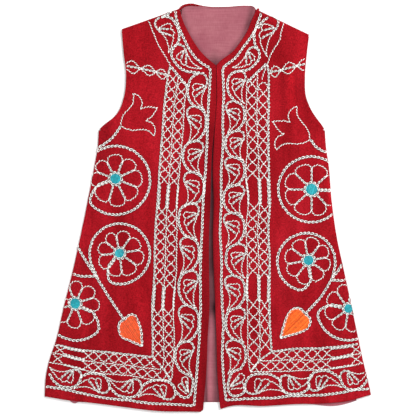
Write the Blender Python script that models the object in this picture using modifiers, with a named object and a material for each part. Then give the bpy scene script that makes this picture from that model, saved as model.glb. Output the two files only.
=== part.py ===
"""Embroidered folk vest, laid flat on a table with its front up. Metres, +Z up.

X runs to the wearer's left, Y from hem to neck, and the table is z = 0. The vest is cut as a back
panel with a visible back lining, and two fronts that roll over the side and shoulder folds and meet
the back at seams on the underside.
"""

import math
from collections import namedtuple

import bmesh
import bpy
import numpy as np

# Walls and clearances
BACK_WALL = 0.0018  # velvet of the back panel
LINING_WALL = 0.0010  # cotton lining of the back
FRONT_WALL = 0.0026  # velvet and lining of a front, sewn together at every edge
SEAM_GAP = 0.0004  # between two pieces at a seam
LINING_GAP = 0.0003  # between the back panel and its lining
INNER_GAP = 0.0019  # air between the back lining and the fronts at the folds

# Heights above the table
LINING_Z = BACK_WALL + LINING_GAP  # underside of the back lining
FRONT_Z = LINING_Z + LINING_WALL + INNER_GAP  # underside of a front at its folds
FRONT_MID = FRONT_Z + FRONT_WALL / 2
UNDER_MID = FRONT_WALL / 2  # middle of the strip that a front turns under
FOLD_RADIUS = (FRONT_MID - UNDER_MID) / 2
FOLD_REACH = FOLD_RADIUS + FRONT_WALL / 2  # from where the roll starts to the silhouette

# Widths turned under, and how far the back is cut inside the fronts
SIDE_UNDER = 0.024
SHOULDER_UNDER = 0.006
ARMHOLE_INSET = 0.003
UNDERARM_DROP = 0.007  # the armhole dips by this much round the side fold
UNDERARM_BLEND = 0.060  # and the dip fades out over this length of the side
HEM_BLEND = 0.120  # the rows above the hem follow its bow over this height
LINING_INSET = 0.0012  # the back lining ends this far inside the back panel
TIP_CLEAR = 0.004  # no armhole point of the back lies nearer than this to the shoulder tip

# Shape of the fronts between their edges
PUFF = 0.0018  # slack that holds a front up between its folds
SIDE_SLOPE = 0.045  # distance over which a front rises from the side fold
EDGE_LIFT = 0.0016  # front edges and neckline curl up by this much
EDGE_CURL = 0.030  # width of that curl

# Divisions of a front's mesh
PANEL_COLUMNS = 20
ROLL_STEPS = 4
SKIRT_ROWS = 21  # hem to underarm
CHEST_ROWS = 8  # underarm to the foot of the neckline
YOKE_ROWS = 6  # foot of the neckline to the shoulder
HEM_POINTS = 34  # along the back's hem
NECK_POINTS = 30  # along the back's neck

# The side folds and front edges at heights up the skirt
Section = namedtuple("Section", "y right_side left_side right_edge left_edge")
SKIRT = [
    Section(-0.405, -0.3275, 0.3330, -0.0085, 0.0255),
    Section(-0.373, -0.3260, 0.3270, -0.0060, 0.0225),
    Section(-0.340, -0.3240, 0.3195, -0.0030, 0.0200),
    Section(-0.305, -0.3165, 0.3110, -0.0010, 0.0186),
    Section(-0.270, -0.3045, 0.3035, 0.0000, 0.0180),
    Section(-0.200, -0.2880, 0.2890, 0.0040, 0.0154),
    Section(-0.130, -0.2705, 0.2740, 0.0034, 0.0126),
    Section(-0.060, -0.2550, 0.2590, 0.0032, 0.0106),
    Section(0.010, -0.2405, 0.2490, 0.0060, 0.0122),
    Section(0.085, -0.2260, 0.2425, 0.0080, 0.0104),
    Section(0.120, -0.2200, 0.2375, 0.0100, 0.0120),
    Section(0.155, -0.2180, 0.2350, 0.0125, 0.0145),
    Section(0.215, -0.2150, 0.2330, 0.0172, 0.0188),
    Section(0.284, -0.2150, 0.2330, 0.0166, 0.0180),
]

# Armhole edges of the fronts, from the underarm to the shoulder tips
Armhole = namedtuple("Armhole", "y right left")
ARMHOLES = [
    Armhole(0.155, -0.218, 0.235),
    Armhole(0.167, -0.205, 0.227),
    Armhole(0.180, -0.188, 0.217),
    Armhole(0.196, -0.176, 0.207),
    Armhole(0.218, -0.168, 0.198),
    Armhole(0.262, -0.163, 0.195),
    Armhole(0.310, -0.168, 0.199),
    Armhole(0.358, -0.172, 0.205),
]

# Necklines of the fronts, from the front edges to the shoulders
Neckline = namedtuple("Neckline", "y right left")
NECKLINES = [
    Neckline(0.284, 0.0166, 0.0180),
    Neckline(0.292, 0.0070, 0.0245),
    Neckline(0.310, -0.0120, 0.0485),
    Neckline(0.330, -0.0265, 0.0650),
    Neckline(0.352, -0.0390, 0.0790),
    Neckline(0.376, -0.0500, 0.0888),
    Neckline(0.398, -0.0560, 0.1000),
]

# Hems of the fronts, by the share of the way from the front edge to the side
Hem = namedtuple("Hem", "share right left")
HEMS = [
    Hem(0.00, -0.4085, -0.4020),
    Hem(0.30, -0.4060, -0.3965),
    Hem(0.50, -0.3985, -0.3930),
    Hem(0.70, -0.3905, -0.3915),
    Hem(0.85, -0.3855, -0.3870),
    Hem(1.00, -0.3785, -0.3755),
]

# Hem of the back from the wearer's right side to the left, and its neckline
Outline = namedtuple("Outline", "x y")
BACK_HEM = [
    Outline(-0.330, -0.3770),
    Outline(-0.290, -0.3830),
    Outline(-0.263, -0.3890),
    Outline(-0.200, -0.3880),
    Outline(0.000, -0.3900),
    Outline(0.120, -0.3910),
    Outline(0.200, -0.3940),
    Outline(0.262, -0.3955),
    Outline(0.295, -0.3880),
    Outline(0.330, -0.3760),
]
BACK_NECK = [
    Outline(-0.0540, 0.3985),
    Outline(-0.0470, 0.4050),
    Outline(-0.0340, 0.4090),
    Outline(-0.0200, 0.4065),
    Outline(0.0000, 0.4030),
    Outline(0.0400, 0.4025),
    Outline(0.0800, 0.4045),
    Outline(0.0920, 0.4030),
    Outline(0.0975, 0.3980),
]
NECK_BAND = 0.007  # velvet that shows above the lining where the back neck rolls over
NECK_BAND_X = (-0.058, -0.012)

# Soft folds pressed into the fronts: a line from one point to another, its half width and height
Fold = namedtuple("Fold", "x0 y0 x1 y1 half_width height")
RIGHT_FOLDS = [
    Fold(-0.150, 0.330, -0.132, 0.150, 0.022, 0.0014),
    Fold(-0.205, 0.120, -0.150, 0.020, 0.024, 0.0016),
    Fold(-0.225, -0.120, -0.120, -0.175, 0.026, 0.0016),
    Fold(-0.250, -0.340, -0.215, -0.200, 0.024, 0.0014),
    Fold(-0.085, -0.390, -0.075, -0.210, 0.028, 0.0012),
]
LEFT_FOLDS = [
    Fold(0.166, 0.320, 0.180, 0.110, 0.017, 0.0030),
    Fold(0.146, 0.250, 0.147, 0.100, 0.014, -0.0010),
    Fold(0.190, 0.335, 0.190, 0.235, 0.013, 0.0012),
    Fold(0.225, 0.090, 0.252, -0.070, 0.020, 0.0020),
    Fold(0.225, -0.190, 0.235, -0.330, 0.022, 0.0018),
    Fold(0.090, -0.390, 0.100, -0.230, 0.026, 0.0012),
]

# One front: its column in the tables, its outward side, its folds and the ends of its shoulder
Front = namedtuple("Front", "name side outward folds neck_y tip_y")
RIGHT = Front("right_front", "right", -1, RIGHT_FOLDS, 0.398, 0.357)
LEFT = Front("left_front", "left", 1, LEFT_FOLDS, 0.396, 0.346)

UNDERARM_Y = 0.155
NECK_FOOT_Y = 0.284

# Finishes: base colour, roughness, metallic
VELVET_RED = ((0.36, 0.010, 0.016, 1.0), 0.85, 0.0)
LINING_PINK = ((0.48, 0.145, 0.185, 1.0), 0.9, 0.0)


def through(knots, values, at):
    """A smooth curve through the knots, with each slope taken from its two neighbours."""
    knots, values = np.array(knots, float), np.array(values, float)
    slopes = np.gradient(values, knots)
    i = int(np.clip(np.searchsorted(knots, at) - 1, 0, len(knots) - 2))
    span = knots[i + 1] - knots[i]
    t = min(max((at - knots[i]) / span, 0.0), 1.0)
    return float(
        (1 + 2 * t) * (1 - t) ** 2 * values[i]
        + t * (1 - t) ** 2 * span * slopes[i]
        + t * t * (3 - 2 * t) * values[i + 1]
        + t * t * (t - 1) * span * slopes[i + 1]
    )


def column(table, key, value, at):
    """The table's value column at a place along its key column."""
    return through([getattr(r, key) for r in table], [getattr(r, value) for r in table], at)


def smoothstep(t):
    t = min(max(t, 0.0), 1.0)
    return t * t * (3 - 2 * t)


def side_x(front, y):
    """The silhouette at the side fold."""
    return column(SKIRT, "y", front.side + "_side", y)


def edge_x(front, y):
    """The front edge, and above its foot the neckline."""
    if y <= NECK_FOOT_Y:
        return column(SKIRT, "y", front.side + "_edge", y)
    return column(NECKLINES, "y", front.side, y)


def armhole_x(front, y):
    return column(ARMHOLES, "y", front.side, y)


def fold_height(fold, x, y):
    """How far one soft fold raises the cloth at a point."""
    dx, dy = fold.x1 - fold.x0, fold.y1 - fold.y0
    length = math.hypot(dx, dy)
    along = ((x - fold.x0) * dx + (y - fold.y0) * dy) / length
    across = ((x - fold.x0) * dy - (y - fold.y0) * dx) / length
    past = max(-along, along - length, 0.0)
    return fold.height * math.exp(-((across / fold.half_width) ** 2) - (past / (2 * fold.half_width)) ** 2)


def front_z(front, x, y, from_edge, from_side):
    """Middle of the front's wall, given the distances to its front edge and to its side or armhole."""
    rise = smoothstep(from_side / SIDE_SLOPE)
    puff = PUFF * rise * smoothstep(from_edge / SIDE_SLOPE)
    lift = EDGE_LIFT * (1 - smoothstep(from_edge / EDGE_CURL))
    folds = rise * sum(fold_height(f, x, y) for f in front.folds)
    return FRONT_MID + puff + lift + folds


def hem_ends(front):
    """The height of a front's hem at its front edge and at its side."""
    return getattr(HEMS[0], front.side), getattr(HEMS[-1], front.side)


def hem_bow(front, share):
    """How far the hem of a front lies above the straight line between its ends."""
    edge_y, side_y = hem_ends(front)
    return column(HEMS, "share", front.side, share) - (edge_y + share * (side_y - edge_y))


def row_ends(front):
    """(edge y, side y) of each row of a front, from hem to shoulder."""
    to_foot = (NECK_FOOT_Y - UNDERARM_Y) / (front.neck_y - UNDERARM_Y)
    foot_side = UNDERARM_Y + to_foot * (front.tip_y - UNDERARM_Y)
    stops = [
        (*hem_ends(front), SKIRT_ROWS),
        (UNDERARM_Y, UNDERARM_Y, CHEST_ROWS),
        (NECK_FOOT_Y, foot_side, YOKE_ROWS),
        (front.neck_y, front.tip_y, 0),
    ]
    rows = []
    for (e0, s0, count), (e1, s1, _) in zip(stops, stops[1:]):
        rows += [(e0 + (e1 - e0) * k / count, s0 + (s1 - s0) * k / count) for k in range(count)]
    return rows + [(front.neck_y, front.tip_y)]


def flat_row(front, edge_y, side_y):
    """A row across the top of a front, from its edge to where the side rolls or the armhole is cut."""
    under = side_y <= UNDERARM_Y
    start = edge_x(front, edge_y)
    end = side_x(front, side_y) - front.outward * FOLD_REACH if under else armhole_x(front, side_y)
    hem = 1 - smoothstep((edge_y - hem_ends(front)[0]) / HEM_BLEND)
    shoulder = smoothstep((front.neck_y - edge_y) / EDGE_CURL)
    row = []
    for k in range(PANEL_COLUMNS + 1):
        s = k / PANEL_COLUMNS
        x = start + s * (end - start)
        y = edge_y + s * (side_y - edge_y) + hem * hem_bow(front, s)
        z = front_z(front, x, y, abs(x - start), abs(end - x))
        row.append((x, y, FRONT_MID + (z - FRONT_MID) * shoulder))
    return row


def rolled(distance, under):
    """(reach, height) of points over a fold that starts at reach 0 and turns under by a width."""
    arc = math.pi * FOLD_RADIUS
    if distance <= arc:
        angle = distance / FOLD_RADIUS
        return FOLD_RADIUS * math.sin(angle), UNDER_MID + FOLD_RADIUS * (1 + math.cos(angle))
    return -min(distance - arc, under), UNDER_MID


def roll_stations(under):
    """Distances over a fold at which it is divided: round the roll, then along the part turned under."""
    arc = math.pi * FOLD_RADIUS
    return [arc * (k + 1) / ROLL_STEPS for k in range(ROLL_STEPS)] + [arc + under / 2, arc + under]


def side_roll(front, last):
    """The points that carry a row from its last flat point round the side fold to the seam."""
    x0, y0, _ = last
    dip = UNDERARM_DROP * smoothstep(1 - (UNDERARM_Y - y0) / UNDERARM_BLEND)
    full = math.pi * FOLD_RADIUS + SIDE_UNDER
    points = []
    for distance in roll_stations(SIDE_UNDER):
        reach, z = rolled(distance, SIDE_UNDER)
        points.append((x0 + front.outward * reach, y0 - dip * distance / full, z))
    return points


def shoulder_normal(front):
    """The unit vector that points out over the shoulder fold."""
    dx = armhole_x(front, front.tip_y) - edge_x(front, front.neck_y)
    dy = front.tip_y - front.neck_y
    length = math.hypot(dx, dy)
    return -dy / length * front.outward, abs(dx) / length


def front_rows(front):
    """The rows of a front's middle surface: skirt rows with their side roll, then chest, yoke and
    shoulder roll."""
    nx, ny = shoulder_normal(front)
    rows = []
    for edge_y, side_y in row_ends(front):
        row = flat_row(front, edge_y, side_y)
        if side_y <= UNDERARM_Y:
            row += side_roll(front, row[-1])
        rows.append(row)
    crest = [(x - nx * FOLD_REACH, y - ny * FOLD_REACH, z) for x, y, z in rows[-1]]
    rows[-1] = crest
    for distance in roll_stations(SHOULDER_UNDER):
        reach, z = rolled(distance, SHOULDER_UNDER)
        rows.append([(x + nx * reach, y + ny * reach, z) for x, y, _ in crest])
    return rows


def finish_of(name, colour, roughness, metallic):
    material = bpy.data.materials.new(name)
    material.use_nodes = True
    shader = material.node_tree.nodes["Principled BSDF"]
    shader.inputs["Base Color"].default_value = colour
    shader.inputs["Roughness"].default_value = roughness
    shader.inputs["Metallic"].default_value = metallic
    return material


def sheet_from_rows(name, rows, wall, turned, material, collection):
    """A cloth wall round a middle surface whose rows may have unlike lengths."""
    bm = bmesh.new()
    grid = [[bm.verts.new(p) for p in row] for row in rows]
    for low, high in zip(grid, grid[1:]):
        for k in range(min(len(low), len(high)) - 1):
            corners = [low[k], low[k + 1], high[k + 1], high[k]]
            bm.faces.new(corners[::-1] if turned else corners)
    mesh = bpy.data.meshes.new(name)
    bm.to_mesh(mesh)
    bm.free()
    mesh.shade_smooth()
    cloth = bpy.data.objects.new(name, mesh)
    cloth.data.materials.append(material)
    collection.objects.link(cloth)
    solidify = cloth.modifiers.new("wall", "SOLIDIFY")
    solidify.thickness = wall
    solidify.offset = 0.0
    solidify.use_even_offset = True
    return cloth


def flat_sheet(name, outline, base_z, wall, material, collection):
    """A cloth wall that lies flat, cut to a closed outline."""
    curve = bpy.data.curves.new(name, "CURVE")
    curve.dimensions = "2D"
    curve.fill_mode = "BOTH"
    curve.extrude = wall / 2
    spline = curve.splines.new("POLY")
    spline.points.add(len(outline) - 1)
    for point, (x, y) in zip(spline.points, outline):
        point.co = (x, y, 0.0, 1.0)
    spline.use_cyclic_u = True
    cloth = bpy.data.objects.new(name, curve)
    cloth.location.z = base_z + wall / 2
    cloth.data.materials.append(material)
    collection.objects.link(cloth)
    return cloth


def back_side(front, inset):
    """The back's edge from hem to shoulder tip on one side: (side seam, armhole)."""
    seam = []
    armhole = []
    for edge_y, side_y in row_ends(front):
        if side_y <= UNDERARM_Y:
            x, y, _ = side_roll(front, flat_row(front, edge_y, side_y)[-1])[-1]
            seam.append((x - front.outward * (SEAM_GAP + inset), y))
        else:
            x = armhole_x(front, side_y) - front.outward * (ARMHOLE_INSET + inset)
            armhole.append((min(abs(x), abs(seam[-1][0])) * front.outward, side_y))
    return seam, armhole


def shoulder_seam(front, inset):
    """The back's shoulder edge: (neck end, tip end)."""
    nx, ny = shoulder_normal(front)
    inboard = FOLD_REACH + SHOULDER_UNDER + SEAM_GAP + inset
    neck_x = edge_x(front, front.neck_y) - nx * inboard - front.outward * (SEAM_GAP + inset)
    neck = (neck_x, front.neck_y - ny * inboard)
    tip_x = armhole_x(front, front.tip_y) - front.outward * (ARMHOLE_INSET + inset)
    slope = (front.tip_y - front.neck_y) / (armhole_x(front, front.tip_y) - edge_x(front, front.neck_y))
    return neck, (tip_x, neck[1] + slope * (tip_x - neck[0]))


def back_outline(inset, neck_drop):
    """The closed outline of the back, drawn in by an inset, anticlockwise from the wearer's right hem."""
    right_seam, right_armhole = back_side(RIGHT, inset)
    left_seam, left_armhole = back_side(LEFT, inset)
    right_neck, right_tip = shoulder_seam(RIGHT, inset)
    left_neck, left_tip = shoulder_seam(LEFT, inset)
    hem_x = np.linspace(right_seam[0][0], left_seam[0][0], HEM_POINTS)
    hem = [(x, column(BACK_HEM, "x", "y", x) + inset) for x in hem_x]
    neck_x = np.linspace(BACK_NECK[-1].x - inset, BACK_NECK[0].x + inset, NECK_POINTS)
    neck = [(x, column(BACK_NECK, "x", "y", x) - inset - neck_drop(x)) for x in neck_x]
    right_up = [p for p in right_seam[1:] + right_armhole if p[1] < right_tip[1] - TIP_CLEAR]
    left_up = [p for p in left_seam[1:] + left_armhole if p[1] < left_tip[1] - TIP_CLEAR]
    return hem + left_up + [left_tip, left_neck] + neck + [right_neck, right_tip] + right_up[::-1]


def neck_band(x):
    """How much lower the lining ends where the back neck's velvet rolls over it."""
    middle, half = sum(NECK_BAND_X) / 2, (NECK_BAND_X[1] - NECK_BAND_X[0]) / 2
    return NECK_BAND * max(0.0, 1 - ((x - middle) / half) ** 2)


def clear_scene():
    for obj in list(bpy.data.objects):
        bpy.data.objects.remove(obj)


def main():
    clear_scene()
    vest = bpy.data.collections.new("folk_vest")
    bpy.context.scene.collection.children.link(vest)
    velvet = finish_of("red_velvet", *VELVET_RED)
    cotton = finish_of("pink_lining", *LINING_PINK)
    flat_sheet("back_panel", back_outline(0.0, lambda x: 0.0), 0.0, BACK_WALL, velvet, vest)
    flat_sheet("back_lining", back_outline(LINING_INSET, neck_band), LINING_Z, LINING_WALL, cotton, vest)
    for front in (RIGHT, LEFT):
        sheet_from_rows(front.name, front_rows(front), FRONT_WALL, front.outward < 0, velvet, vest)


main()
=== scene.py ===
"""Embroidered folk vest, laid flat with its front up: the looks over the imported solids.

Metres in the row frame; the tables' lengths are written in millimetres. Each front is a velvet shell sewn
with chain stitch, and every stitch is a loop of cord of its own. The ornament is laid out in a plane that
continues round the side and shoulder folds.
"""
import math
from collections import namedtuple

import bmesh
import bpy
import numpy as np
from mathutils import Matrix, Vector
from mathutils.bvhtree import BVHTree
from mathutils.kdtree import KDTree


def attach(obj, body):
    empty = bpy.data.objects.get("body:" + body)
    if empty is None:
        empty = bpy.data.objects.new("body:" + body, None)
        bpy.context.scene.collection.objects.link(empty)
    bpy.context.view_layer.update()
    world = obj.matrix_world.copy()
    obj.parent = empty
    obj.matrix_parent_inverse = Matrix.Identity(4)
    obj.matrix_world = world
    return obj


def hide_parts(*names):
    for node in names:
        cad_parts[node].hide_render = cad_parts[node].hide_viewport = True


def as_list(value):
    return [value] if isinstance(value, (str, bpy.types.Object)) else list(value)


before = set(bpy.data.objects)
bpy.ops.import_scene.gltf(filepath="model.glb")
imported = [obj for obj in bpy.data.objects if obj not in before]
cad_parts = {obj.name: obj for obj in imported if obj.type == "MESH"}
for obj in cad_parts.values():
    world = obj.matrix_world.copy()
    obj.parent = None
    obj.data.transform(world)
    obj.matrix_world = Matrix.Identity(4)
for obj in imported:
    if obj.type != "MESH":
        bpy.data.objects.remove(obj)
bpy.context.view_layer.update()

rng = np.random.default_rng(7)

# ---------------------------------------------------------------- tables
# Fields of the tables that hold shares, angles or counts: all other numbers are lengths
ANGLES = {"heading", "turn", "toward", "to"}
COUNTS = {"count", "arch", "number", "stations", "sides"}
SHARES = {"share", "curl", "size", "drift", "skew", "tone", "reach"}
NOT_LENGTHS = ANGLES | COUNTS | SHARES


def metres(value):
    """Millimetres as metres, in every row of a table; words stay as they are."""
    if isinstance(value, (tuple, list)):
        return [metres(v) for v in value]
    return value / 1000 if isinstance(value, (int, float)) else value


def named(kind, rows):
    """A table's rows with their fields named and their lengths in metres."""
    return [kind(*(v if f in NOT_LENGTHS else metres(v) for f, v in zip(kind._fields, row))) for row in rows]


def by_side(kind, right, left):
    """A table for each front."""
    return {"right": named(kind, right), "left": named(kind, left)}


def one_by_side(kind, right, left):
    """One named row for each front."""
    return {side: rows[0] for side, rows in by_side(kind, [right], [left]).items()}


# ---------------------------------------------------------------- sizes shared with the part's source
FRONT_WALL = 0.0026
BACK_WALL = 0.0018
LINING_WALL = 0.0010
LINING_Z = 0.0021  # the lining's underside
FRONT_MID = 0.0063  # height of the middle of a front's cloth on top, and of the part under its folds
UNDER_MID = FRONT_WALL / 2
FOLD_RADIUS = (FRONT_MID - UNDER_MID) / 2
FOLD_REACH = FOLD_RADIUS + FRONT_WALL / 2
SEAM_GAP = 0.0004
SIDE_UNDER = 0.024  # how far a front goes on under its side fold and under its shoulder
SHOULDER_UNDER = 0.006
ARMHOLE_INSET = 0.003  # of the back inside a front's armhole
LINING_INSET = 0.0012
UNDERARM_DROP = 0.007  # how far the side fold dips under the arm, and from how far below it
UNDERARM_BLEND = 0.060
UNDERARM_FLARE = 10  # how fast a front widens from its side fold to its armhole, across over up
HEM_BLEND = 0.120  # the hem's bow fades out over this height
CORNER_RADIUS = {"right": 0.006, "left": 0.0015}  # of each front's lower corner at its edge
PUFF = 0.0018  # how far a front stands up between its edges, and how wide its slopes are
SIDE_SLOPE = 0.045
EDGE_LIFT = 0.0016  # how far a front's edge curls up, and from how far in
EDGE_CURL = 0.030
UNDERARM_Y = 0.155
NECK_FOOT_Y = 0.284

# The side folds and the front edges, from the hem up
Section = namedtuple("Section", "y right_side left_side right_edge left_edge")
SKIRT = named(Section, [
    (-405, -327.5, 333, -8.5, 25.5), (-373, -326, 327, -6, 22.5), (-340, -324, 319.5, -3, 20),
    (-305, -316.5, 311, -1, 18.6), (-270, -304.5, 303.5, 0, 18), (-200, -288, 289, 4, 15.4),
    (-130, -270.5, 274, 3.4, 12.6), (-60, -255, 259, 3.2, 10.6), (10, -240.5, 249, 6, 12.2),
    (85, -226, 242.5, 8, 10.4), (120, -220, 237.5, 10, 12), (155, -218, 235, 13.4, 14.3),
    (215, -215, 233, 17.6, 18.3), (284, -215, 233, 17, 17.7),
])
Armhole = namedtuple("Armhole", "y right left")
ARMHOLES = named(Armhole, [
    (155, -218, 235), (167, -205, 227), (180, -188, 217), (196, -176, 207), (218, -168, 198),
    (262, -163, 195), (310, -168, 199), (358, -172, 205),
])
Neckline = namedtuple("Neckline", "y right left")
NECKLINES = named(Neckline, [
    (284, 17, 17.7), (292, 7, 24.5), (310, -12, 48.5), (330, -26.5, 65), (352, -39, 79),
    (376, -50, 88.8), (398, -56, 100),
])
# The hem of each front by its share of the way from the edge to the side
Hem = namedtuple("Hem", "share right left")
HEMS = named(Hem, [
    (0.0, -408.5, -402.6), (0.05, -408.1, -398), (0.3, -406, -396.5), (0.5, -398.5, -393),
    (0.7, -390.5, -391.5), (0.85, -385.5, -387), (1.0, -378.5, -375.5),
])
Point = namedtuple("Point", "x y")
BACK_HEM = named(Point, [
    (-330, -377), (-290, -383), (-263, -389), (-200, -388), (0, -390), (120, -391), (200, -394),
    (262, -395.5), (295, -388), (330, -376),
])
BACK_NECK = named(Point, [
    (-54, 398.5), (-47, 405), (-34, 409), (-20, 406.5), (0, 403), (40, 402.5), (80, 404.5), (92, 403),
    (97.5, 398),
])
# Where the back's velvet shows past its lining at the neck, and where the lining hangs out below the hem:
# from x to x, and how far in the middle
Drop = namedtuple("Drop", "x0 x1 height")
NECK_DROPS = named(Drop, [(-58, -12, 4)])
HEM_DROPS = named(Drop, [(-318, -284, 3.4), (-277, -258, 5.2), (200, 306, 2.2)])

# Each sheet's flat cut with its turn-ins, in metres and square metres
Cut = namedtuple("Cut", "width length area")
BACK_CUT = Cut(0.660, 0.815, 0.365)
LINING_CUT = Cut(0.655, 0.812, 0.360)
RIGHT_CUT = Cut(0.332, 0.815, 0.216)
LEFT_CUT = Cut(0.332, 0.806, 0.206)

# Folds of the cloth along a line
Fold = namedtuple("Fold", "x0 y0 x1 y1 half_width height")
RIGHT_FOLDS = named(Fold, [
    (-150, 330, -132, 150, 22, 1.4), (-205, 120, -150, 20, 24, 1.6), (-225, -120, -120, -175, 26, 1.6),
    (-250, -340, -215, -200, 24, 1.4), (-85, -390, -75, -210, 28, 1.2),
])
LEFT_FOLDS = named(Fold, [
    (166, 320, 180, 110, 17, 3), (146, 250, 147, 100, 14, -1), (190, 335, 190, 235, 13, 1.2),
    (225, 90, 252, -70, 20, 2), (225, -190, 235, -330, 22, 1.8), (90, -390, 100, -230, 26, 1.2),
])
LINING_CREASES = named(Fold, [
    (-40, 385, 90, 392, 6, 1.6), (-20, 372, 80, 366, 9, 1.2), (-30, 352, 60, 357, 6, -0.8),
    (0, 338, 55, 336, 7, 1), (10, 300, 22, 240, 4, 0.6), (0, -100, 10, -260, 5, 0.7),
    (-10, -330, 30, -350, 6, 0.6),
])
LINING_CLEAR = 0.0001  # the lining lies this far over its solid's level, so its creases may dip as far
# A front: which way is out from the vest's middle, and how high its shoulder's neck and tip ends are
Front = namedtuple("Front", "side outward folds neck_y tip_y")
RIGHT = Front("right", -1, RIGHT_FOLDS, 0.398, 0.357)
LEFT = Front("left", 1, LEFT_FOLDS, 0.396, 0.346)
# Distances between the mesh rows of a front and between the points of the back's outline
FRONT_STEP = 0.0032
BACK_STEP = 0.004
BACK_GRID = (90, 110)  # columns and rows of the back's velvet and of its lining
LINING_GRID = (130, 150)
FRONT_RIM = 0.0006  # how far the rim of each cloth is rounded
BACK_RIM = 0.0005
LINING_RIM = 0.0003

# Rolled velvet facing along the back of the neck and up the left front's edge
Roll = namedtuple("Roll", "x y radius")
NECK_ROLLS = by_side(Roll, right=[
    (-57, 390, 1.6), (-55.5, 397, 2.2), (-49, 403, 2.4), (-40, 405.8, 2.2), (-30, 406.6, 1.8),
    (-20, 405, 1.1), (-10, 403, 0.5),
], left=[
    (93.5, 378, 1), (96, 385, 2.6), (98.8, 391.5, 3.2), (101, 395.8, 3.1), (102.4, 398.4, 1.9),
])
ROLL_Z = 0.0034
ROLL_HEIGHT = 0.8  # of its width
ROLL_STEP = 0.0015
ROLL_SIDES = 12

# ---------------------------------------------------------------- the ornament's layout
SAME_POINT = 0.0003  # points nearer than this count as one
# Lines of stitches down a front: along its edge, and the three that hold the lattice
Line = namedtuple("Line", "y edge inner centre outer")
LINES = by_side(Line, right=[
    (255, 5, -38.6, -59.2, -80), (215, 2, -45, -65.2, -85.4), (149, -0.6, -49.6, -70.2, -90.2),
    (75, -4.4, -55.6, -75, -96), (9, -9, -61.4, -80.6, -100), (-55, -11.6, -61.6, -83.4, -105),
    (-131, -14.8, -63, -85.2, -105.8), (-199, -14.2, -68.6, -89.2, -110.4),
    (-265, -17, -66.6, -87.4, -109.2), (-298.4, -19.4, -67.8, -87.4, -109.8),
    (-345, -23, -72, -90, -109.8), (-395, -27, -74, -91, -109.8),
], left=[
    (265, 30.8, 78, 99.4, 122.2), (227, 32, 77.8, 99.6, 122.2), (171, 30, 77, 98.6, 121.4),
    (125, 30.8, 79.8, 101, 121.6), (71, 26.8, 76.6, 102.2, 122.4), (9, 27.4, 81.4, 104.4, 124.4),
    (-43, 24.8, 77, 99.8, 121.4), (-101, 27.2, 79.8, 102, 124), (-179, 28.2, 78.8, 102.6, 123.4),
    (-237, 31.4, 80.2, 104.4, 124.4), (-288, 29.2, 80.4, 104.2, 127.6), (-338.6, 31.6, 85, 104.4, 128),
    (-384, 36.6, 85.4, 104.4, 128),
])
# The same lines along a hem: the lattice's three, and the chain nearest the hem
HemLine = namedtuple("HemLine", "x upper middle lower chain")
HEM_LINES = by_side(HemLine, right=[
    (-329, -268, -286, -308, -357), (-295, -275.4, -293, -312.2, -361),
    (-255, -284, -303, -322, -369.4), (-211, -287.6, -309.8, -331, -378.8),
    (-161, -292.8, -314.6, -334.6, -384.2), (-109.8, -298.6, -321.8, -343, -390.8),
    (-73, -302, -325, -345, -392), (-27.2, -306, -328, -348, -395.4),
], left=[
    (36.8, -290, -309, -329, -385), (85, -289, -307.4, -327.8, -381.6),
    (128, -288, -306.2, -327.6, -380.8), (165, -283, -304.6, -326.4, -376.6),
    (225, -280.8, -304, -323.6, -374.8), (267, -277.4, -299.4, -319, -370),
    (293, -274, -294.2, -315, -365), (333, -269, -290, -307, -362),
])
# Where the lattice's lines turn the corner from front edge to hem
Corner = namedtuple("Corner", "edge inner centre outer")
CORNERS = one_by_side(
    Corner,
    right=((-27.2, -395.4), (-74, -345), (-91, -319), (-109.8, -298.4)),
    left=((36.8, -385), (85.4, -327), (104.4, -305), (128, -288)),
)
# The top of the lattice: a thick slanting line from the outer line to the inner one
Slant = namedtuple("Slant", "x0 y0 x1 y1")
SLANTS = one_by_side(Slant, right=(-74.4, 282, -40.4, 242), left=(117.8, 287.4, 79, 250))
HEM_LINES_END = 0.345  # how far out the lines along a hem run, round the side fold
LINE_STEP = 0.004
EDGE_TOP = 0.266  # where the edge's chain and the lattice's outer line go over from their start points
OUTER_TOP = 0.262
# The two lines that hold each band of the lattice, on the front and on the hem: the nearer one first
BANDS = {
    "outer": ("centre", "outer"),
    "inner": ("inner", "centre"),
    "upper": ("middle", "upper"),
    "lower": ("lower", "middle"),
}
LATTICE_SWING = (0.09, 0.91)  # where across its band each thread starts
LATTICE_STRAY = 0.0005  # of a swing's place along its band
ARCH = [(0.0, 0.98), (0.75, 0.84)]  # points of an arch: spread of its two threads, steps before the cross
LONE_CROSS = 0.020  # length of a band with a single cross
# Crosses of the lattice between two lines, from the first to the last: where, how many, and whether the
# threads close in an arch over the first
Crosses = namedtuple("Crosses", "band first last count arch", defaults=[False])
CROSSES = by_side(Crosses, right=[
    ("outer", 256, 56, 11), ("outer", -9, -147, 8), ("outer", -211.8, -291, 5),
    ("inner", 232.2, 54, 10, True), ("inner", -12.8, -151, 8), ("inner", -212.8, -333, 7),
    ("upper", -115.2, -238, 7), ("lower", -100.4, -238, 8), ("upper", -295.2, -295.2, 1),
    ("lower", -299, -299, 1),
], left=[
    ("inner", 246.6, 68.2, 9), ("inner", -1.4, -126, 7), ("inner", -193.8, -316.4, 6),
    ("outer", 227.2, 64.4, 8, True), ("outer", -4.8, -129.4, 7), ("outer", -196.2, -272, 4),
    ("upper", 138.6, 238.6, 6), ("lower", 115, 236.4, 7), ("upper", 297.6, 297.6, 1),
    ("lower", 297.6, 297.6, 1),
])
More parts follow.
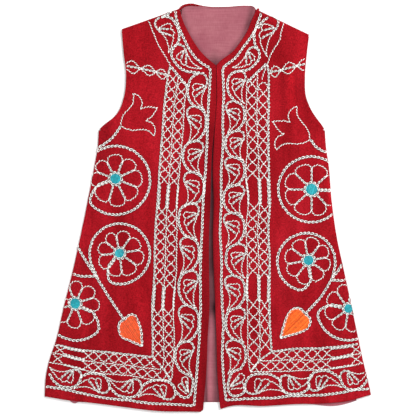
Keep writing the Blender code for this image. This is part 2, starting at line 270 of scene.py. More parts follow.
# Long slots between the lattices, with heavier sides: on the front by height, on the hem by x
Slot = namedtuple("Slot", "where start end")
SLOTS = by_side(
    Slot,
    right=[("front", 46, -1), ("front", -157, -205), ("hem", -289, -246)],
    left=[("front", 60, 7), ("front", -134, -187), ("hem", 247, 290)],
)
SLOT_SIDE = 0.0027  # from a slot's outer line to the second chain beside it
SLOT_RIB = 0.0013  # from the middle of the rib between two slots to each of its chains
# A single thread of the left front, from the slant down to its outer column's first arch
TOP_THREAD = metres([(116.2, 280.2), (112, 268), (108.4, 255.4)])
# Chain along the neckline, and the thin line that bounds the vine outside it
NECK_CHAINS = by_side(Point, right=[
    (-65.2, 395.2), (-60, 367), (-51.8, 347), (-46.4, 335.2), (-39, 321.2), (-30.4, 307), (-20, 295),
    (-9, 286.2), (4, 278), (6.4, 271.2),
], left=[
    (107.2, 388.8), (100.6, 371.2), (95.6, 356.2), (88, 342.4), (78, 328.8), (66.8, 313.8), (55, 298.8),
    (43, 288.8), (31.6, 280.6), (29.4, 271.2),
])
NECK_BOUNDS = by_side(
    Point,
    right=[(-118, 372.8), (-109.6, 351.6), (-96.4, 321.2), (-82.4, 299), (-74.4, 282.4)],
    left=[(153, 369), (148, 355), (143.6, 335), (126.2, 305.2), (118.6, 283)],
)
# Palmettes on the vine: where each springs, the side of the band it springs from, the vine's heading
# there (0 down a front, 90 out along a hem), the band's width, the length of the motif and of its curl
Palmette = namedtuple("Palmette", "x y side heading width pitch curl", defaults=[1.0])
PALMETTES = by_side(Palmette, right=[
    (-98, 354, "inner", -23, 50, 66), (-43.2, 313, "edge", -42, 44, 64),
    (-4, 239, "edge", 3, 48, 60, 1.4), (-39, 179, "inner", 2, 49, 68), (-11, 111, "edge", 3, 51, 62),
    (-45, 49, "inner", 2, 52, 64), (-20, -15, "edge", 1, 51, 67), (-53, -82, "inner", 2, 49, 68),
    (-21.4, -150, "edge", 1, 49, 69), (-55.6, -219, "inner", 3, 52, 70), (-30, -289, "edge", 1, 47, 62),
], left=[
    (135.2, 354.8, "inner", -16, 52, 76), (79, 310, "edge", -45, 38, 56), (74, 252, "inner", 0, 47, 60),
    (39, 192.2, "edge", 0, 47, 58), (71, 134.6, "inner", 0, 48, 54), (37, 81.4, "edge", 0, 50, 56),
    (71, 25, "inner", -1, 53, 58), (35, -32.6, "edge", 1, 52, 62), (75, -94.6, "inner", 0, 52, 63),
    (37, -158, "edge", 1, 51, 64), (73, -222, "inner", 0, 50, 64), (39, -286, "edge", 1, 50, 62),
])
HEM_PALMETTES = by_side(Palmette, right=[
    (-88.2, -380.4, "edge", 92, 49, 68), (-151.6, -344, "inner", 96, 48, 61),
    (-219, -367, "edge", 96, 48, 65), (-271, -324.4, "inner", 98, 48, 60),
], left=[
    (100, -370.2, "edge", 89, 52, 74), (165, -336.6, "inner", 93, 50, 62),
    (223, -363.4, "edge", 94, 50, 60), (282.4, -327.6, "inner", 96, 50, 54),
])
# The vine's course before its first palmette and after its last one, and round the corner to the hem
VINE_STARTS = by_side(
    Point,
    right=[(-70, 395), (-79, 386)],
    left=[(122.2, 379.4), (113, 375.2), (104.5, 365), (99, 356)],
)
VINE_SKIPS = {"right": 0, "left": 5}  # points of the first palmette's course that its start stands for
VINE_ENDS = by_side(
    Point,
    right=[(-44, -332), (-30, -340)],
    left=[(52, -326), (44, -336)],
)
HEM_STARTS = by_side(
    Point,
    right=[(-29, -343), (-30, -359), (-34, -373), (-42, -379.6), (-51, -379), (-60, -370)],
    left=[(44, -338), (40.6, -354), (42.4, -369), (51, -377), (64, -375), (75, -366)],
)
# Two fingers from one point fill each corner: where from, turned how far and how large
CornerPalmette = namedtuple("CornerPalmette", "x y turn size")
CORNER_PALMETTES = one_by_side(CornerPalmette, right=(-38, -371.4, 34, 0.92), left=(43.8, -359, 0, 1.0))
# Their outlines and heavy strokes, out along the hem and up
CORNER_OUTLINES = metres([
    [(0, 0), (3.5, 4.4), (12.3, 16.7), (19.4, 26.4), (23.8, 28.2), (29.9, 22)],
    [(29.9, 22), (30.8, 19), (24.6, 10.9), (29, 5.3), (27.3, 0), (22, -1.8)],
    [(22, -1.8), (12, -2.2), (3, -3.5)],
])
CORNER_STROKES = metres([[(1, 1), (19.4, 19.4)], [(3, 0.5), (23.8, 10)]])
# One palmette, charted across its band (0 at its own side, 1 at the other) and along it (shares of its
# length): the curl that brings the vine to its base, the vine's own course on the far side, the light
# outlines of two fingers and a drop, and the heavy strokes inside
BASE = 0.18
CURL = [(0.45, -0.345), (0.29, -0.33), (0.18, -0.27), (0.13, -0.17), (0.145, -0.07), (0.18, 0.0)]
VINE = [
    (0.45, -0.345), (0.62, -0.31), (0.75, -0.25), (0.85, -0.165), (0.895, -0.07),
    (0.915, 0.05), (0.92, 0.20), (0.89, 0.34), (0.79, 0.49), (0.65, 0.62),
]
VINE_TAIL = (0.46, 0.70)  # where the vine ends, on the last palmette's chart
FINGER_1 = [
    (0.20, -0.02), (0.28, -0.07), (0.44, -0.072), (0.58, -0.088),
    (0.69, -0.06), (0.73, 0.017), (0.70, 0.085), (0.63, 0.107),
]
FINGER_2 = [(0.63, 0.107), (0.70, 0.150), (0.727, 0.216), (0.695, 0.284), (0.615, 0.333)]
DROP_FAR = [(0.615, 0.33), (0.615, 0.40), (0.53, 0.485), (0.42, 0.585), (0.30, 0.68), (0.19, 0.745)]
DROP_NEAR = [
    (0.20, 0.05), (0.26, 0.17), (0.315, 0.31), (0.315, 0.43), (0.305, 0.54), (0.265, 0.65), (0.19, 0.745),
]
STROKES = [
    [(0.60, 0.104), (0.40, 0.020), (0.245, -0.033)],
    [(0.59, 0.327), (0.42, 0.190), (0.285, 0.110), (0.19, 0.02)],
]

# Flower wheels: centre, radii of the eye, the spokes and the petals, angle of the first spoke (clockwise
# from the top), how far the petals drift and towards where, and the ring round them
Wheel = namedtuple("Wheel", "x y eye spoke petal turn drift toward ring_x ring_y ring")
WHEELS = by_side(Wheel, right=[
    (-183.6, 57.4, 10, 38.2, 51, -25, 0.07, 150, -183.4, 54.2, 69),
    (-175.8, -91.2, 9, 34, 46.2, -53, 0.06, 140, -175.2, -92.4, 60.6),
    (-264.4, -192, 9.8, 32.8, 47, -18, 0.06, 145, -262, -203, 62),
], left=[
    (208.2, 36.2, 11.2, 40, 53.2, -44, 0.04, 250, 207, 36.2, 65.3),
    (201.6, -105.6, 9.4, 34.4, 46.2, -55, 0.03, 260, 197.4, -109, 57.6),
    (281.4, -202, 8.4, 34.6, 46.8, -36, 0.03, 300, 281.4, -202, 63.6),
])
SPOKE_DRIFT = 1.7  # of the petals' drift
EYE_RING = 0.0026  # from an eye's rim to the chain round it, and to the start of the spokes
SPOKE_START = 0.004
SPOKES = 8
SPOKE_STRAY = 1.6  # of a spoke's angle, in degrees
CROWN_VARIES = 0.015
PETAL_BULGE = 0.22  # how much wider a petal is above its tips than at them, and how blunt its crown is
PETAL_BLUNT = 0.85
# The spiral springs from a numbered spoke, swings to an angle and runs on to a last point
SPIRAL_BESIDE = 0.0024  # from its spoke to the chain beside it
SPIRAL_STEP = 6  # degrees
SPIRAL_GROWTH = 3.6  # how soon it reaches its ring
Spiral = namedtuple("Spiral", "number to tail")
SPIRALS = by_side(
    Spiral,
    right=[(6, -70, None), (6, -124, (-221, -139)), (3, 225, None)],
    left=[(3, 420, None), (5, 470, (249.4, -140)), (7, 130, None)],
)
# Stems and other single lines of heavy chain, each bowed to one side
Stem = namedtuple("Stem", "x0 y0 x1 y1 bow")
STEMS = by_side(Stem, right=[
    (-274, -38, -223, -137, -5), (-223, -137, -167.4, -223, -1), (-279, -130, -224, -137, -4),
    (-172.8, 163.4, -223, 117, 6),
], left=[
    (276, -98, 249.4, -140, 2), (249.4, -140, 196, -211, 4), (248, -145, 285, -142, -3),
    (204.4, 136.4, 244, 108, -6),
])
# Tulips: the base, the middle tip; leaves: the notch where the stem meets them, the tip and half width
Tulip = namedtuple("Tulip", "x y tip_x tip_y")
TULIPS = one_by_side(Tulip, right=(-172.8, 163.4, -99.8, 198.8), left=(204.4, 136.4, 129.8, 172.2))
Leaf = namedtuple("Leaf", "x y tip_x tip_y half_width skew")
LEAVES = one_by_side(
    Leaf,
    right=(-167.4, -223.4, -131.2, -277, 23, -0.1),
    left=(195.4, -210.6, 145.6, -259.6, 24, 0.0),
)
# Half of a tulip, in shares of its length: along its axis and out from it
TULIP_BODY = [
    (0.0, 0.0), (0.07, 0.11), (0.19, 0.22), (0.35, 0.285), (0.51, 0.365), (0.575, 0.465), (0.62, 0.58),
]
TULIP_NOTCH = [(0.62, 0.58), (0.70, 0.50), (0.735, 0.38), (0.72, 0.28), (0.61, 0.155)]
TULIP_TIP = [(0.61, 0.155), (0.70, 0.15), (0.83, 0.105), (0.92, 0.05), (1.0, 0.0)]
# Half of a leaf: shares of its length along its axis, and of its half width
LEAF_HALF = [
    (0.03, 0.0), (0.00, 0.40), (0.08, 0.84), (0.25, 1.0),
    (0.43, 0.89), (0.62, 0.64), (0.81, 0.33), (1.0, 0.0),
]
# Braids from the lattice's top to the armhole: the points where their strands cross, and how far the
# strands rise and dip before the next one
Knot = namedtuple("Knot", "x y rise dip")
BRAIDS = by_side(
    Knot,
    right=[(-80, 264, 9.2, 10.4), (-103, 270.6, 10.2, 10), (-133, 277.4, 11.2, 12.6), (-168, 285, 0, 0)],
    left=[(124, 270.2, 10, 11.4), (147.2, 274, 11.2, 10.6), (178.4, 282.6, 10.4, 12.2), (208, 289.6, 0, 0)],
)
# A strand between two crossings: (share of the way, share of its rise or dip)
STRAND = [(0.0, 0.0), (0.20, 0.55), (0.38, 1.0), (0.55, 1.0), (0.78, 0.55), (1.0, 0.0)]

# Chain stitches: pitch, half the width between a loop's strands, radius of the cord, how far a stitch
# strays from its line and how far it slants across it, its reach in pitches, and its mesh's divisions
Chain = namedtuple("Chain", "name pitch spread cord stray slant reach stations sides")
THICK, MIDDLE, THIN = KINDS = named(Chain, [
    ("thick", 7.7, 1.64, 0.71, 0.24, 1.6, 1.0, 13, 5),
    ("middle", 7.4, 1.26, 0.6, 0.22, 1.3, 1.0, 13, 5),
    ("thin", 5.8, 0.4, 0.5, 0.36, 1.8, 1.08, 9, 4),
])
# Half of a stitch's cord seen from above: shares of its pitch, spread and cord radius.
# It rises under the tip of the stitch before it, opens into the eye and closes over its own tip.
HALF_LOOP = [
    (0.02, 0.42, -0.8), (0.16, 0.50, 0.7), (0.34, 0.74, 1.2), (0.58, 1.00, 1.1), (0.80, 0.94, 1.1),
    (0.95, 0.58, 1.3), (1.03, 0.00, 1.5),
]
# Each cord is painted darker where it rises from the pile, for the shade there, on one leg further than on
# the other
CORD_SHADE = 0.74
CORD_SHADE_REACH = (0.80, 0.46)
PLUMP = (0.84, 1.17)  # the cord's radius there and at the tip of the stitch, as shares
# How far the stitches differ in width, in the cord's radius and in their skew, and how much wider each
# one is on one side than on the other
WIDTH_VARIES = 0.07
CORD_VARIES = 0.05
SKEW_VARIES = 0.10
ONE_SIDED = 0.12
CORD_TWISTS = 650.0  # turns of its two plies in a metre
# Outline of the pile that a stitch presses down, painted dark for the shade in and round the stitch: shares
# of its length and half width
PRESSED_SIDE = [(0.10, 0.78), (0.40, 1.0), (0.74, 1.0), (1.06, 0.70)]
PRESSED = [(-0.10, 0.0), *((a, -b) for a, b in PRESSED_SIDE), (1.20, 0.0), *reversed(PRESSED_SIDE)]
PRESSED_MIDDLE = 0.55
PRESSED_RIM = 0.0014  # how far it reaches past the cord, and its height under the stitch and at its rim
PRESSED_RISE = 0.00055
PRESSED_EDGE = 0.00010
SEWN_ROUND = math.radians(112)  # how far round a fold the sewing goes before it ends
ARMHOLE_BARE = 0.001  # how near an armhole's edge the sewing ends
PILE_LIFT = 0.0005  # how far the pile stands up away from the stitches, and how far away it does
PILE_REACH = 0.009

# Satin fills: from thread to thread, their radius, and how far they are padded up
Thread = namedtuple("Thread", "spacing radius rise")
EYE_THREAD, LEAF_THREAD = named(Thread, [(0.85, 0.55, 1.6), (0.95, 0.62, 1.4)])
SATIN_INSET = 0.0004  # of a thread's ends inside the outline
SATIN_STATIONS = 14
SATIN_SIDES = 6
SATIN_SINK = 0.0003  # of a thread's ends into the pile
SATIN_STRAY = 0.00012
SATIN_VARIES = 0.08  # of a thread's radius
EYE_DIRECTIONS = [(0.3, 1), (-0.5, 1), (1, 0.4)]
EYE_OVER = 0.0008  # how far an eye's threads reach under the chain round it
LEAF_FILL = 0.97  # of the leaf's outline

# Strokes over the velvet, along each of which it is painted lighter or darker: mostly painted shade and
# highlights on its folds, creases and rolled sides and along a front's edge, with some patches where its
# pile leans
Stroke = namedtuple("Stroke", "x0 y0 x1 y1 half_width tone")
NAP_AND_PAINTED_LIGHT = by_side(Stroke, right=[
    (15, 290, 12, 190, 10, -0.1), (8, 150, -6, -400, 11, -0.37), (-48, 375, 5, 292, 9, -0.14),
    (-150, 160, -108, 110, 24, 0.14), (-155, 350, -130, 230, 24, 0.15),
    (-205, 160, -220, 90, 11, -0.16), (-125, -10, -129, -60, 13, 0.08),
    (-142, -145, -132, -190, 16, 0.16), (-235, -10, -260, -80, 14, 0.06),
    (-210, -160, -225, -270, 15, -0.06), (-300, -375, -100, -395, 20, 0.04),
], left=[
    (25, 280, 20, -395, 6, -0.08), (19.5, 275, 18.5, 200, 1.6, 0.22), (9.5, 130, 12, -200, 6, -0.42),
    (88, 364, 30, 295, 7, -0.14), (198, 360, 185, 300, 15, 0.16), (106, 393, 142, 374, 8, 0.2),
    (244, 40, 264, -80, 9, 0.26), (166.5, 268, 169, 200, 8, 0.46), (177.5, 277, 176.5, 225, 1.7, -0.2),
    (184.5, 280, 184, 232, 1.4, -0.18), (190, 276, 190.5, 225, 1.4, -0.16),
    (151, 262, 153, 190, 7, -0.1), (185, 200, 190, 135, 9, 0.1), (145, 110, 145, 70, 12, -0.08),
    (242, 130, 260, -30, 11, 0.24), (283, -90, 310, -250, 14, 0.1), (145, -160, 170, -190, 14, -0.17),
    (195, -235, 200, -275, 6, 0.08), (215, -235, 218, -275, 5, -0.08), (100, -395, 300, -375, 20, 0.13),
])
# Painted shade and light on the lining: shadows under the neck's edges and down the slit, darker and lighter
# creases, lighter strips where it hangs out below the hem, shade along the hem's fold, the dark line of the
# hem's stitching and a stain near the neck
LINING_SHADE = named(Stroke, [
    (89, 393, 83, 372, 7.2, -0.5), (78, 362, 74, 352, 4, -0.26), (70, 344, 48, 312, 4, -0.3),
    (44, 308, 25, 296, 4, -0.26), (-50, 398, -47, 386, 4.5, -0.22), (-44, 370, -40, 352, 4, -0.2),
    (-30, 336, 4, 298, 3.6, -0.1), (-20, 390, 16, 392, 12, 0.06), (14, 286, 9.5, -200, 10.5, -0.62),
    (7, 40, 7, -120, 8, -0.22), (16, -200, 18, -385, 6, -0.5), (6, -220, 4.5, -385, 3.6, 0.26),
    (-6, -290, -2, -392, 2.2, -0.55), (-10, -374.5, 26, -374.5, 1.1, -0.45),
    (-10, -383, 26, -383, 6, -0.12), (-30, 400, 90, 401, 2, -0.24), (215, -397, 290, -393, 4, 0.4),
    (-315, -380, -260, -389, 4, 0.4),
])
BACK_TONE = -0.10
# Painted light on the neck's rolls: the left one painted lighter where it catches the light, the right one a
# little darker
ROLL_PAINTED_LIGHT = {"right": -0.08, "left": 0.16}

# Laid thread: its material, and its dark, middle and light colours
SATINS = [
    ("turquoise_satin", (0.004, 0.160, 0.215), (0.010, 0.300, 0.355), (0.030, 0.400, 0.450)),
    ("orange_satin", (0.34, 0.016, 0.003), (0.72, 0.068, 0.006), (0.86, 0.130, 0.014)),
    ("light_orange_satin", (0.62, 0.066, 0.007), (0.80, 0.124, 0.011), (0.92, 0.205, 0.024)),
]
# The slot of each sewn piece, by a word of its name
SLOT_OF_WORD = {
    "eye": "turquoise_thread",
    "leaf": "orange_thread",
    "chain": "white_cord",
    "pile": "red_velvet",
    "roll": "red_velvet",
}

FLOOR_Z = -0.0002
VIEW_WIDTH = 0.832  # what the camera sees at the cloth's level
CLOTH_LEVEL = 0.006
VIEW_MIDDLE = (0.001, -0.001)


# ---------------------------------------------------------------- curves
def spline(knots, values, at):
    """A smooth curve through the knots, with each slope taken from its two neighbours."""
    knots, values, at = (np.asarray(a, float) for a in (knots, values, at))
    slopes = np.gradient(values, knots)
    i = np.clip(np.searchsorted(knots, at) - 1, 0, len(knots) - 2)
    span = knots[i + 1] - knots[i]
    t = np.clip((at - knots[i]) / span, 0.0, 1.0)
    return (
        (1 + 2 * t) * (1 - t) ** 2 * values[i]
        + t * (1 - t) ** 2 * span * slopes[i]
        + t * t * (3 - 2 * t) * values[i + 1]
        + t * t * (t - 1) * span * slopes[i + 1]
    )


def column(table, key, value, at):
    """The value at a key, on the curve through a table's rows."""
    rows = sorted(table, key=lambda row: getattr(row, key))
    return spline([getattr(row, key) for row in rows], [getattr(row, value) for row in rows], at)


def smoothstep(t):
    t = np.clip(t, 0.0, 1.0)
    return t * t * (3 - 2 * t)


def normalised(vectors):
    return vectors / np.linalg.norm(vectors, axis=1)[:, None]


def run_along(points):
    """The distance along a line of points, from its start to each of them."""
    return np.concatenate([[0], np.cumsum(np.linalg.norm(np.diff(points, axis=0), axis=1))])


def even(points, count):
    """A line of points divided evenly."""
    points = np.asarray(points, float)
    run = run_along(points)
    at = np.linspace(0, run[-1], count)
    return np.stack([np.interp(at, run, points[:, 0]), np.interp(at, run, points[:, 1])], 1)


def through_points(points, step=0.0012):
    """A smooth, evenly divided curve through a few points; those that all but touch count once."""
    points = np.asarray(points, float)
    apart = np.linalg.norm(np.diff(points, axis=0), axis=1) > SAME_POINT
    points = points[np.concatenate([[True], apart])]
    if len(points) == 2:
        return even(points, max(2, int(run_along(points)[-1] / step)))
    chords = np.linalg.norm(np.diff(points, axis=0), axis=1)
    knots = np.concatenate([[0], np.cumsum(chords**0.5)])
    fine = np.linspace(0, knots[-1], max(4, int(knots[-1] ** 2 / len(points) / step) * 4 + 8))
    curve = np.stack([spline(knots, points[:, 0], fine), spline(knots, points[:, 1], fine)], 1)
    return even(curve, max(3, int(run_along(curve)[-1] / step)))


def bowed(x0, y0, x1, y1, bow):
    """A line between two points, bowed sideways at its middle."""
    a, b = np.array([x0, y0]), np.array([x1, y1])
    across = np.array([-(b - a)[1], (b - a)[0]])
    across /= np.linalg.norm(across)
    return [a, (a + b) / 2 + across * bow, b]


def ridge(line, x, y):
    """How close to a stroke's line a point is: 1 on it, fading to its sides and past its ends."""
    dx, dy = line.x1 - line.x0, line.y1 - line.y0
    length = math.hypot(dx, dy)
    along = ((x - line.x0) * dx + (y - line.y0) * dy) / length
    across = ((x - line.x0) * dy - (y - line.y0) * dx) / length
    past = np.maximum(np.maximum(-along, along - length), 0.0)
    return np.exp(-((across / line.half_width) ** 2) - (past / (2 * line.half_width)) ** 2)


def relief(folds, x, y):
    return sum(fold.height * ridge(fold, x, y) for fold in folds)


def tone_of(strokes, points):
    """The tone that the strokes give each point, by its place seen from above."""
    return sum(stroke.tone * ridge(stroke, points[:, 0], points[:, 1]) for stroke in strokes)


# ---------------------------------------------------------------- the fronts' middle surface
def side_x(front, y):
    return column(SKIRT, "y", front.side + "_side", y)


def edge_x(front, y):
    y = np.asarray(y, float)
    low, high = column(SKIRT, "y", front.side + "_edge", y), column(NECKLINES, "y", front.side, y)
    return np.where(y <= NECK_FOOT_Y, low, high)


def armhole_x(front, y):
    return column(ARMHOLES, "y", front.side, y)


def hem_ends(front):
    return getattr(HEMS[0], front.side), getattr(HEMS[-1], front.side)


def hem_bow(front, share):
    """How far the hem stands off a straight line between its ends."""
    edge_y, side_y = hem_ends(front)
    return column(HEMS, "share", front.side, share) - (edge_y + share * (side_y - edge_y))


def row_ends(front, step):
    """(edge y, side y) of each row of a front, from hem to shoulder, about a step apart."""
    to_foot = (NECK_FOOT_Y - UNDERARM_Y) / (front.neck_y - UNDERARM_Y)
    foot_side = UNDERARM_Y + to_foot * (front.tip_y - UNDERARM_Y)
    stops = [
        hem_ends(front),
        (UNDERARM_Y, UNDERARM_Y),
        (NECK_FOOT_Y, foot_side),
        (front.neck_y, front.tip_y),
    ]
    rows = []
    for (e0, s0), (e1, s1) in zip(stops, stops[1:]):
        count = max(1, round((e1 - e0) / step))
        rows += [(e0 + (e1 - e0) * k / count, s0 + (s1 - s0) * k / count) for k in range(count)]
    return rows + [stops[-1]]


def flat_row(front, edge_y, side_y, columns):
    """A row from the front's edge to where its side fold or its armhole begins."""
    radius = CORNER_RADIUS[front.side]
    above_hem = edge_y - hem_ends(front)[0]
    below = max(radius - above_hem, 0.0)
    start = edge_x(front, edge_y) + front.outward * (radius - math.sqrt(radius**2 - below**2))
    end = side_x(front, side_y) - front.outward * FOLD_REACH
    if side_y > UNDERARM_Y:
        opened = abs(end) + UNDERARM_FLARE * (side_y - UNDERARM_Y)
        end = front.outward * min(abs(armhole_x(front, side_y)), opened)
    s = np.linspace(0, 1, columns + 1)
    hem = 1 - smoothstep(above_hem / HEM_BLEND)
    shoulder = smoothstep((front.neck_y - edge_y) / EDGE_CURL)
    x = start + s * (end - start)
    y = edge_y + s * (side_y - edge_y) + hem * hem_bow(front, s)
    from_edge, from_side = np.abs(x - start), np.abs(end - x)
    rise = smoothstep(from_side / SIDE_SLOPE)
    z = PUFF * rise * smoothstep(from_edge / SIDE_SLOPE)
    z += EDGE_LIFT * (1 - smoothstep(from_edge / EDGE_CURL))
    z += rise * relief(front.folds, x, y)
    return np.stack([x, y, FRONT_MID + z * shoulder], 1)


def rolled(distance):
    """How far out and how high the cloth is at a distance round a fold and on under it."""
    arc = math.pi * FOLD_RADIUS
    if distance > arc:
        return arc - distance, UNDER_MID
    angle = distance / FOLD_RADIUS
    return FOLD_RADIUS * math.sin(angle), UNDER_MID + FOLD_RADIUS * (1 + math.cos(angle))


def roll_stations(under, rest, steps=10):
    """Distances round a fold, in steps, and then on under it to its seam."""
    arc = math.pi * FOLD_RADIUS
    round_fold = [arc * (k + 1) / steps for k in range(steps)]
    return round_fold + [arc + under * (k + 1) / rest for k in range(rest)]


def side_roll(front, last):
    """The end of a row, round the side fold to the seam under it; it dips under the arm."""
    x0, y0, _ = last
    dip = UNDERARM_DROP * smoothstep(1 - (UNDERARM_Y - y0) / UNDERARM_BLEND)
    full = math.pi * FOLD_RADIUS + SIDE_UNDER
    points = []
    for distance in roll_stations(SIDE_UNDER, 4):
        reach, z = rolled(distance)
        points.append((x0 + front.outward * reach, y0 - dip * distance / full, z))
    return np.array(points)


def shoulder_line(front):
    """The neck end of the shoulder fold's crest, its tip end, and the unit vector out over it."""
    neck = np.array([float(edge_x(front, front.neck_y)), front.neck_y])
    tip = np.array([float(armhole_x(front, front.tip_y)), front.tip_y])
    dx, dy = tip - neck
    length = math.hypot(dx, dy)
    out = np.array([-dy / length * front.outward, abs(dx) / length])
    return neck - out * FOLD_REACH, tip - out * FOLD_REACH, out


def front_rows(front, step):
    """The rows of a front from its hem, over its shoulder and down to the seam under it."""
    out = np.array([*shoulder_line(front)[2], 0])
    hem_y = SKIRT[0].y
    columns = round(abs(float(side_x(front, hem_y)) - float(edge_x(front, hem_y))) / step)
    rows = []
    for edge_y, side_y in row_ends(front, step):
        row = flat_row(front, edge_y, side_y, columns)
        if side_y <= UNDERARM_Y:
            row = np.concatenate([row, side_roll(front, row[-1])])
        rows.append(row)
    crest = rows.pop() - out * FOLD_REACH
    below_crest = (crest @ out).mean() - step / 2
    rows = [row for row in rows if (row[: len(crest)] @ out).mean() < below_crest] + [crest]
    for distance in roll_stations(SHOULDER_UNDER, 2):
        reach, z = rolled(distance)
        moved = crest + out * reach
        moved[:, 2] = z
        rows.append(moved)
    return rows


# ---------------------------------------------------------------- meshes
def faces_of_rows(rows):
    """Quads between rows, each as far as the shorter of its two rows goes."""
    starts = np.concatenate([[0], np.cumsum([len(row) for row in rows])])
    faces = []
    for number, (low, high) in enumerate(zip(rows, rows[1:])):
        k = np.arange(min(len(low), len(high)) - 1)
        a, b = starts[number] + k, starts[number + 1] + k
        faces.append(np.stack([a, a + 1, b + 1, b], 1))
    return np.concatenate(faces)


def new_object(name, mesh, material):
    made = bpy.data.objects.new(name, mesh)
    bpy.context.scene.collection.objects.link(made)
    mesh.materials.append(material)
    return made


def mesh_of(name, vertices, faces):
    mesh = bpy.data.meshes.new(name)
    mesh.from_pydata(np.asarray(vertices).tolist(), [], np.asarray(faces).tolist())
    mesh.shade_smooth()
    return mesh


def carry(mesh, name, values):
    """Gives a mesh a value at each vertex, for its material to read."""
    mesh.attributes.new(name, "FLOAT", "POINT").data.foreach_set("value", values)


def vertex_normals(mesh):
    normals = np.zeros(len(mesh.vertices) * 3, np.float32)
    mesh.vertices.foreach_get("normal", normals)
    return normals.reshape(-1, 3).astype(float)


def tube(centre, side, up, radius, sides):
    """The vertices of a tube's rings, each in the plane of its own two directions."""
    turn = 2 * math.pi * np.arange(sides)[:, None] / sides
    rings = np.cos(turn) * side[:, None] + np.sin(turn) * up[:, None]
    return (centre[:, None] + radius * rings).reshape(-1, 3)


def tube_faces(stations, sides):
    """The quads between a tube's rings."""
    a, b = np.meshgrid(np.arange(stations - 1) * sides, np.arange(sides), indexing="ij")
    after = (b + 1) % sides
    return np.stack([a + b, a + after, a + sides + after, a + sides + b], -1).reshape(-1, 4)


def rim_of(mesh):
    """The edges of a surface's rim, as their faces run, and the way out of it at each rim vertex."""
    bm = bmesh.new()
    bm.from_mesh(mesh)
    edges, outward = [], {}
    for edge in bm.edges:
        if edge.is_boundary:
            loop = edge.link_loops[0]
            edges.append((loop.vert.index, loop.link_loop_next.vert.index))
            away = (edge.verts[0].co + edge.verts[1].co) / 2 - edge.link_faces[0].calc_center_median()
            along = (edge.verts[1].co - edge.verts[0].co).normalized()
            away -= along * away.dot(along)
            for v in edge.verts:
                outward[v.index] = outward.get(v.index, Vector()) + away.normalized()
    bm.free()
    return edges, outward


def shell(name, vertices, faces, wall, rim, material, tone):
    """A closed cloth wall round a middle surface, with a rounded rim."""
    mesh = mesh_of(name, vertices, faces)
    half_wall = vertex_normals(mesh) * wall / 2
    rim_edges, outward = rim_of(mesh)
    bpy.data.meshes.remove(mesh)
    count = len(vertices)
    top, bottom = vertices + half_wall, vertices - half_wall
    ring = sorted(outward)
    place = {v: 2 * count + k for k, v in enumerate(ring)}
    out = np.array([outward[v].normalized()[:] for v in ring])
    top[ring] -= out * rim
    bottom[ring] -= out * rim
    quads = faces.tolist() + (faces[:, ::-1] + count).tolist()
    for a, b in rim_edges:
        quads.append([b, a, place[a], place[b]])
        quads.append([place[b], place[a], a + count, b + count])
    closed = mesh_of(name, np.concatenate([top, bottom, vertices[ring]]), quads)
    carry(closed, "tone", np.concatenate([tone, tone, tone[ring]]))
    return new_object(name, closed, material)


# ---------------------------------------------------------------- laying the ornament on a front
class Ground:
    """A front's outer surface, with the plane of the ornament continued round its folds."""

    def __init__(self, front, vertices, faces):
        self.front = front
        mesh = mesh_of("ground", vertices, faces)
        top = vertices + vertex_normals(mesh) * FRONT_WALL / 2
        bpy.data.meshes.remove(mesh)
        self.tree = BVHTree.FromPolygons(top.tolist(), faces.tolist())
        self.crest, _, self.out = shoulder_line(front)

    def dropped(self, x, y):
        """The place and normal of the surface under a point, or None where there is none."""
        hit, normal, _, _ = self.tree.ray_cast(Vector((x, y, 0.1)), Vector((0, 0, -1)))
        if hit is None:
            return None
        return hit, normal if normal.z > 0 else -normal

    def lay(self, points):
        """(places, normals, sewn) of points of the ornament's plane."""
        points = np.asarray(points, float)
        outward = self.front.outward
        places, normals = np.zeros((2, len(points), 3))
        sewn = np.ones(len(points), bool)
        x, y = points[:, 0], points[:, 1]
        over = (points - self.crest) @ self.out
        fold = side_x(self.front, y) - outward * FOLD_REACH
        past = np.where(y <= UNDERARM_Y, outward * (x - fold), -1.0)
        in_armhole = (y > UNDERARM_Y) & (outward * (x - armhole_x(self.front, y)) > -ARMHOLE_BARE)
        for k in range(len(points)):
            if over[k] > 0 or past[k] > 0:
                out, distance = (self.out, over[k]) if over[k] > 0 else (np.array([outward, 0]), past[k])
                angle = distance / FOLD_REACH
                reach = out * math.sin(angle)
                places[k, :2] = points[k] - out * distance + reach * FOLD_REACH
                places[k, 2] = FOLD_REACH * (1 + math.cos(angle))
                normals[k] = (*reach, math.cos(angle))
                sewn[k] = angle < SEWN_ROUND
                continue
            found = None if in_armhole[k] else self.dropped(x[k], y[k])
            if found is None:
                sewn[k] = False
            else:
                places[k], normals[k] = found
        return places, normals, sewn


class Sewing:
    """The stitches of one front, gathered by kind of chain: (start, end, normal) of each."""

    def __init__(self, ground):
        self.ground = ground
        self.stitches = {kind.name: [] for kind in KINDS}

    def sew(self, kind, points, smooth=True):
        """Chain stitches along a smooth curve through the points, or straight from each to the next."""
        curve = through_points(points) if smooth else np.asarray(points, float)
        count = max(1, round(run_along(curve)[-1] / kind.pitch))
        knots = even(curve, count + 1)
        knots[1:-1] += rng.normal(0, kind.stray, (count - 1, 2))
        places, normals, sewn = self.ground.lay(knots)
        for k in range(count):
            if sewn[k] and sewn[k + 1]:
                self.stitches[kind.name].append((places[k], places[k + 1], normals[k] + normals[k + 1]))


# ---------------------------------------------------------------- stitches
def loop_path(kind):
    """The cord's line through one chain stitch: (share of the pitch, side, height)."""
    half = [(0.5 + (s - 0.5) * kind.reach, t * kind.spread, h * kind.cord) for s, t, h in HALF_LOOP]
    knots = np.array(half + [(s, -t, h) for s, t, h in reversed(half[:-1])])
    run = run_along(knots[:, :2] * [kind.pitch, 1])
    at = np.linspace(0, run[-1], kind.stations)
    return np.stack([spline(run, knots[:, k], at) for k in range(3)], 1)


def frames_of(stitches):
    """Start, length and the along, side and normal directions of each stitch."""
    start, end, normal = (np.array(values) for values in zip(*stitches))
    length = np.linalg.norm(end - start, axis=1)
    along = (end - start) / length[:, None]
    normal = normalised(normal - along * np.sum(normal * along, axis=1)[:, None])
    return start, length, along, np.cross(normal, along), normal


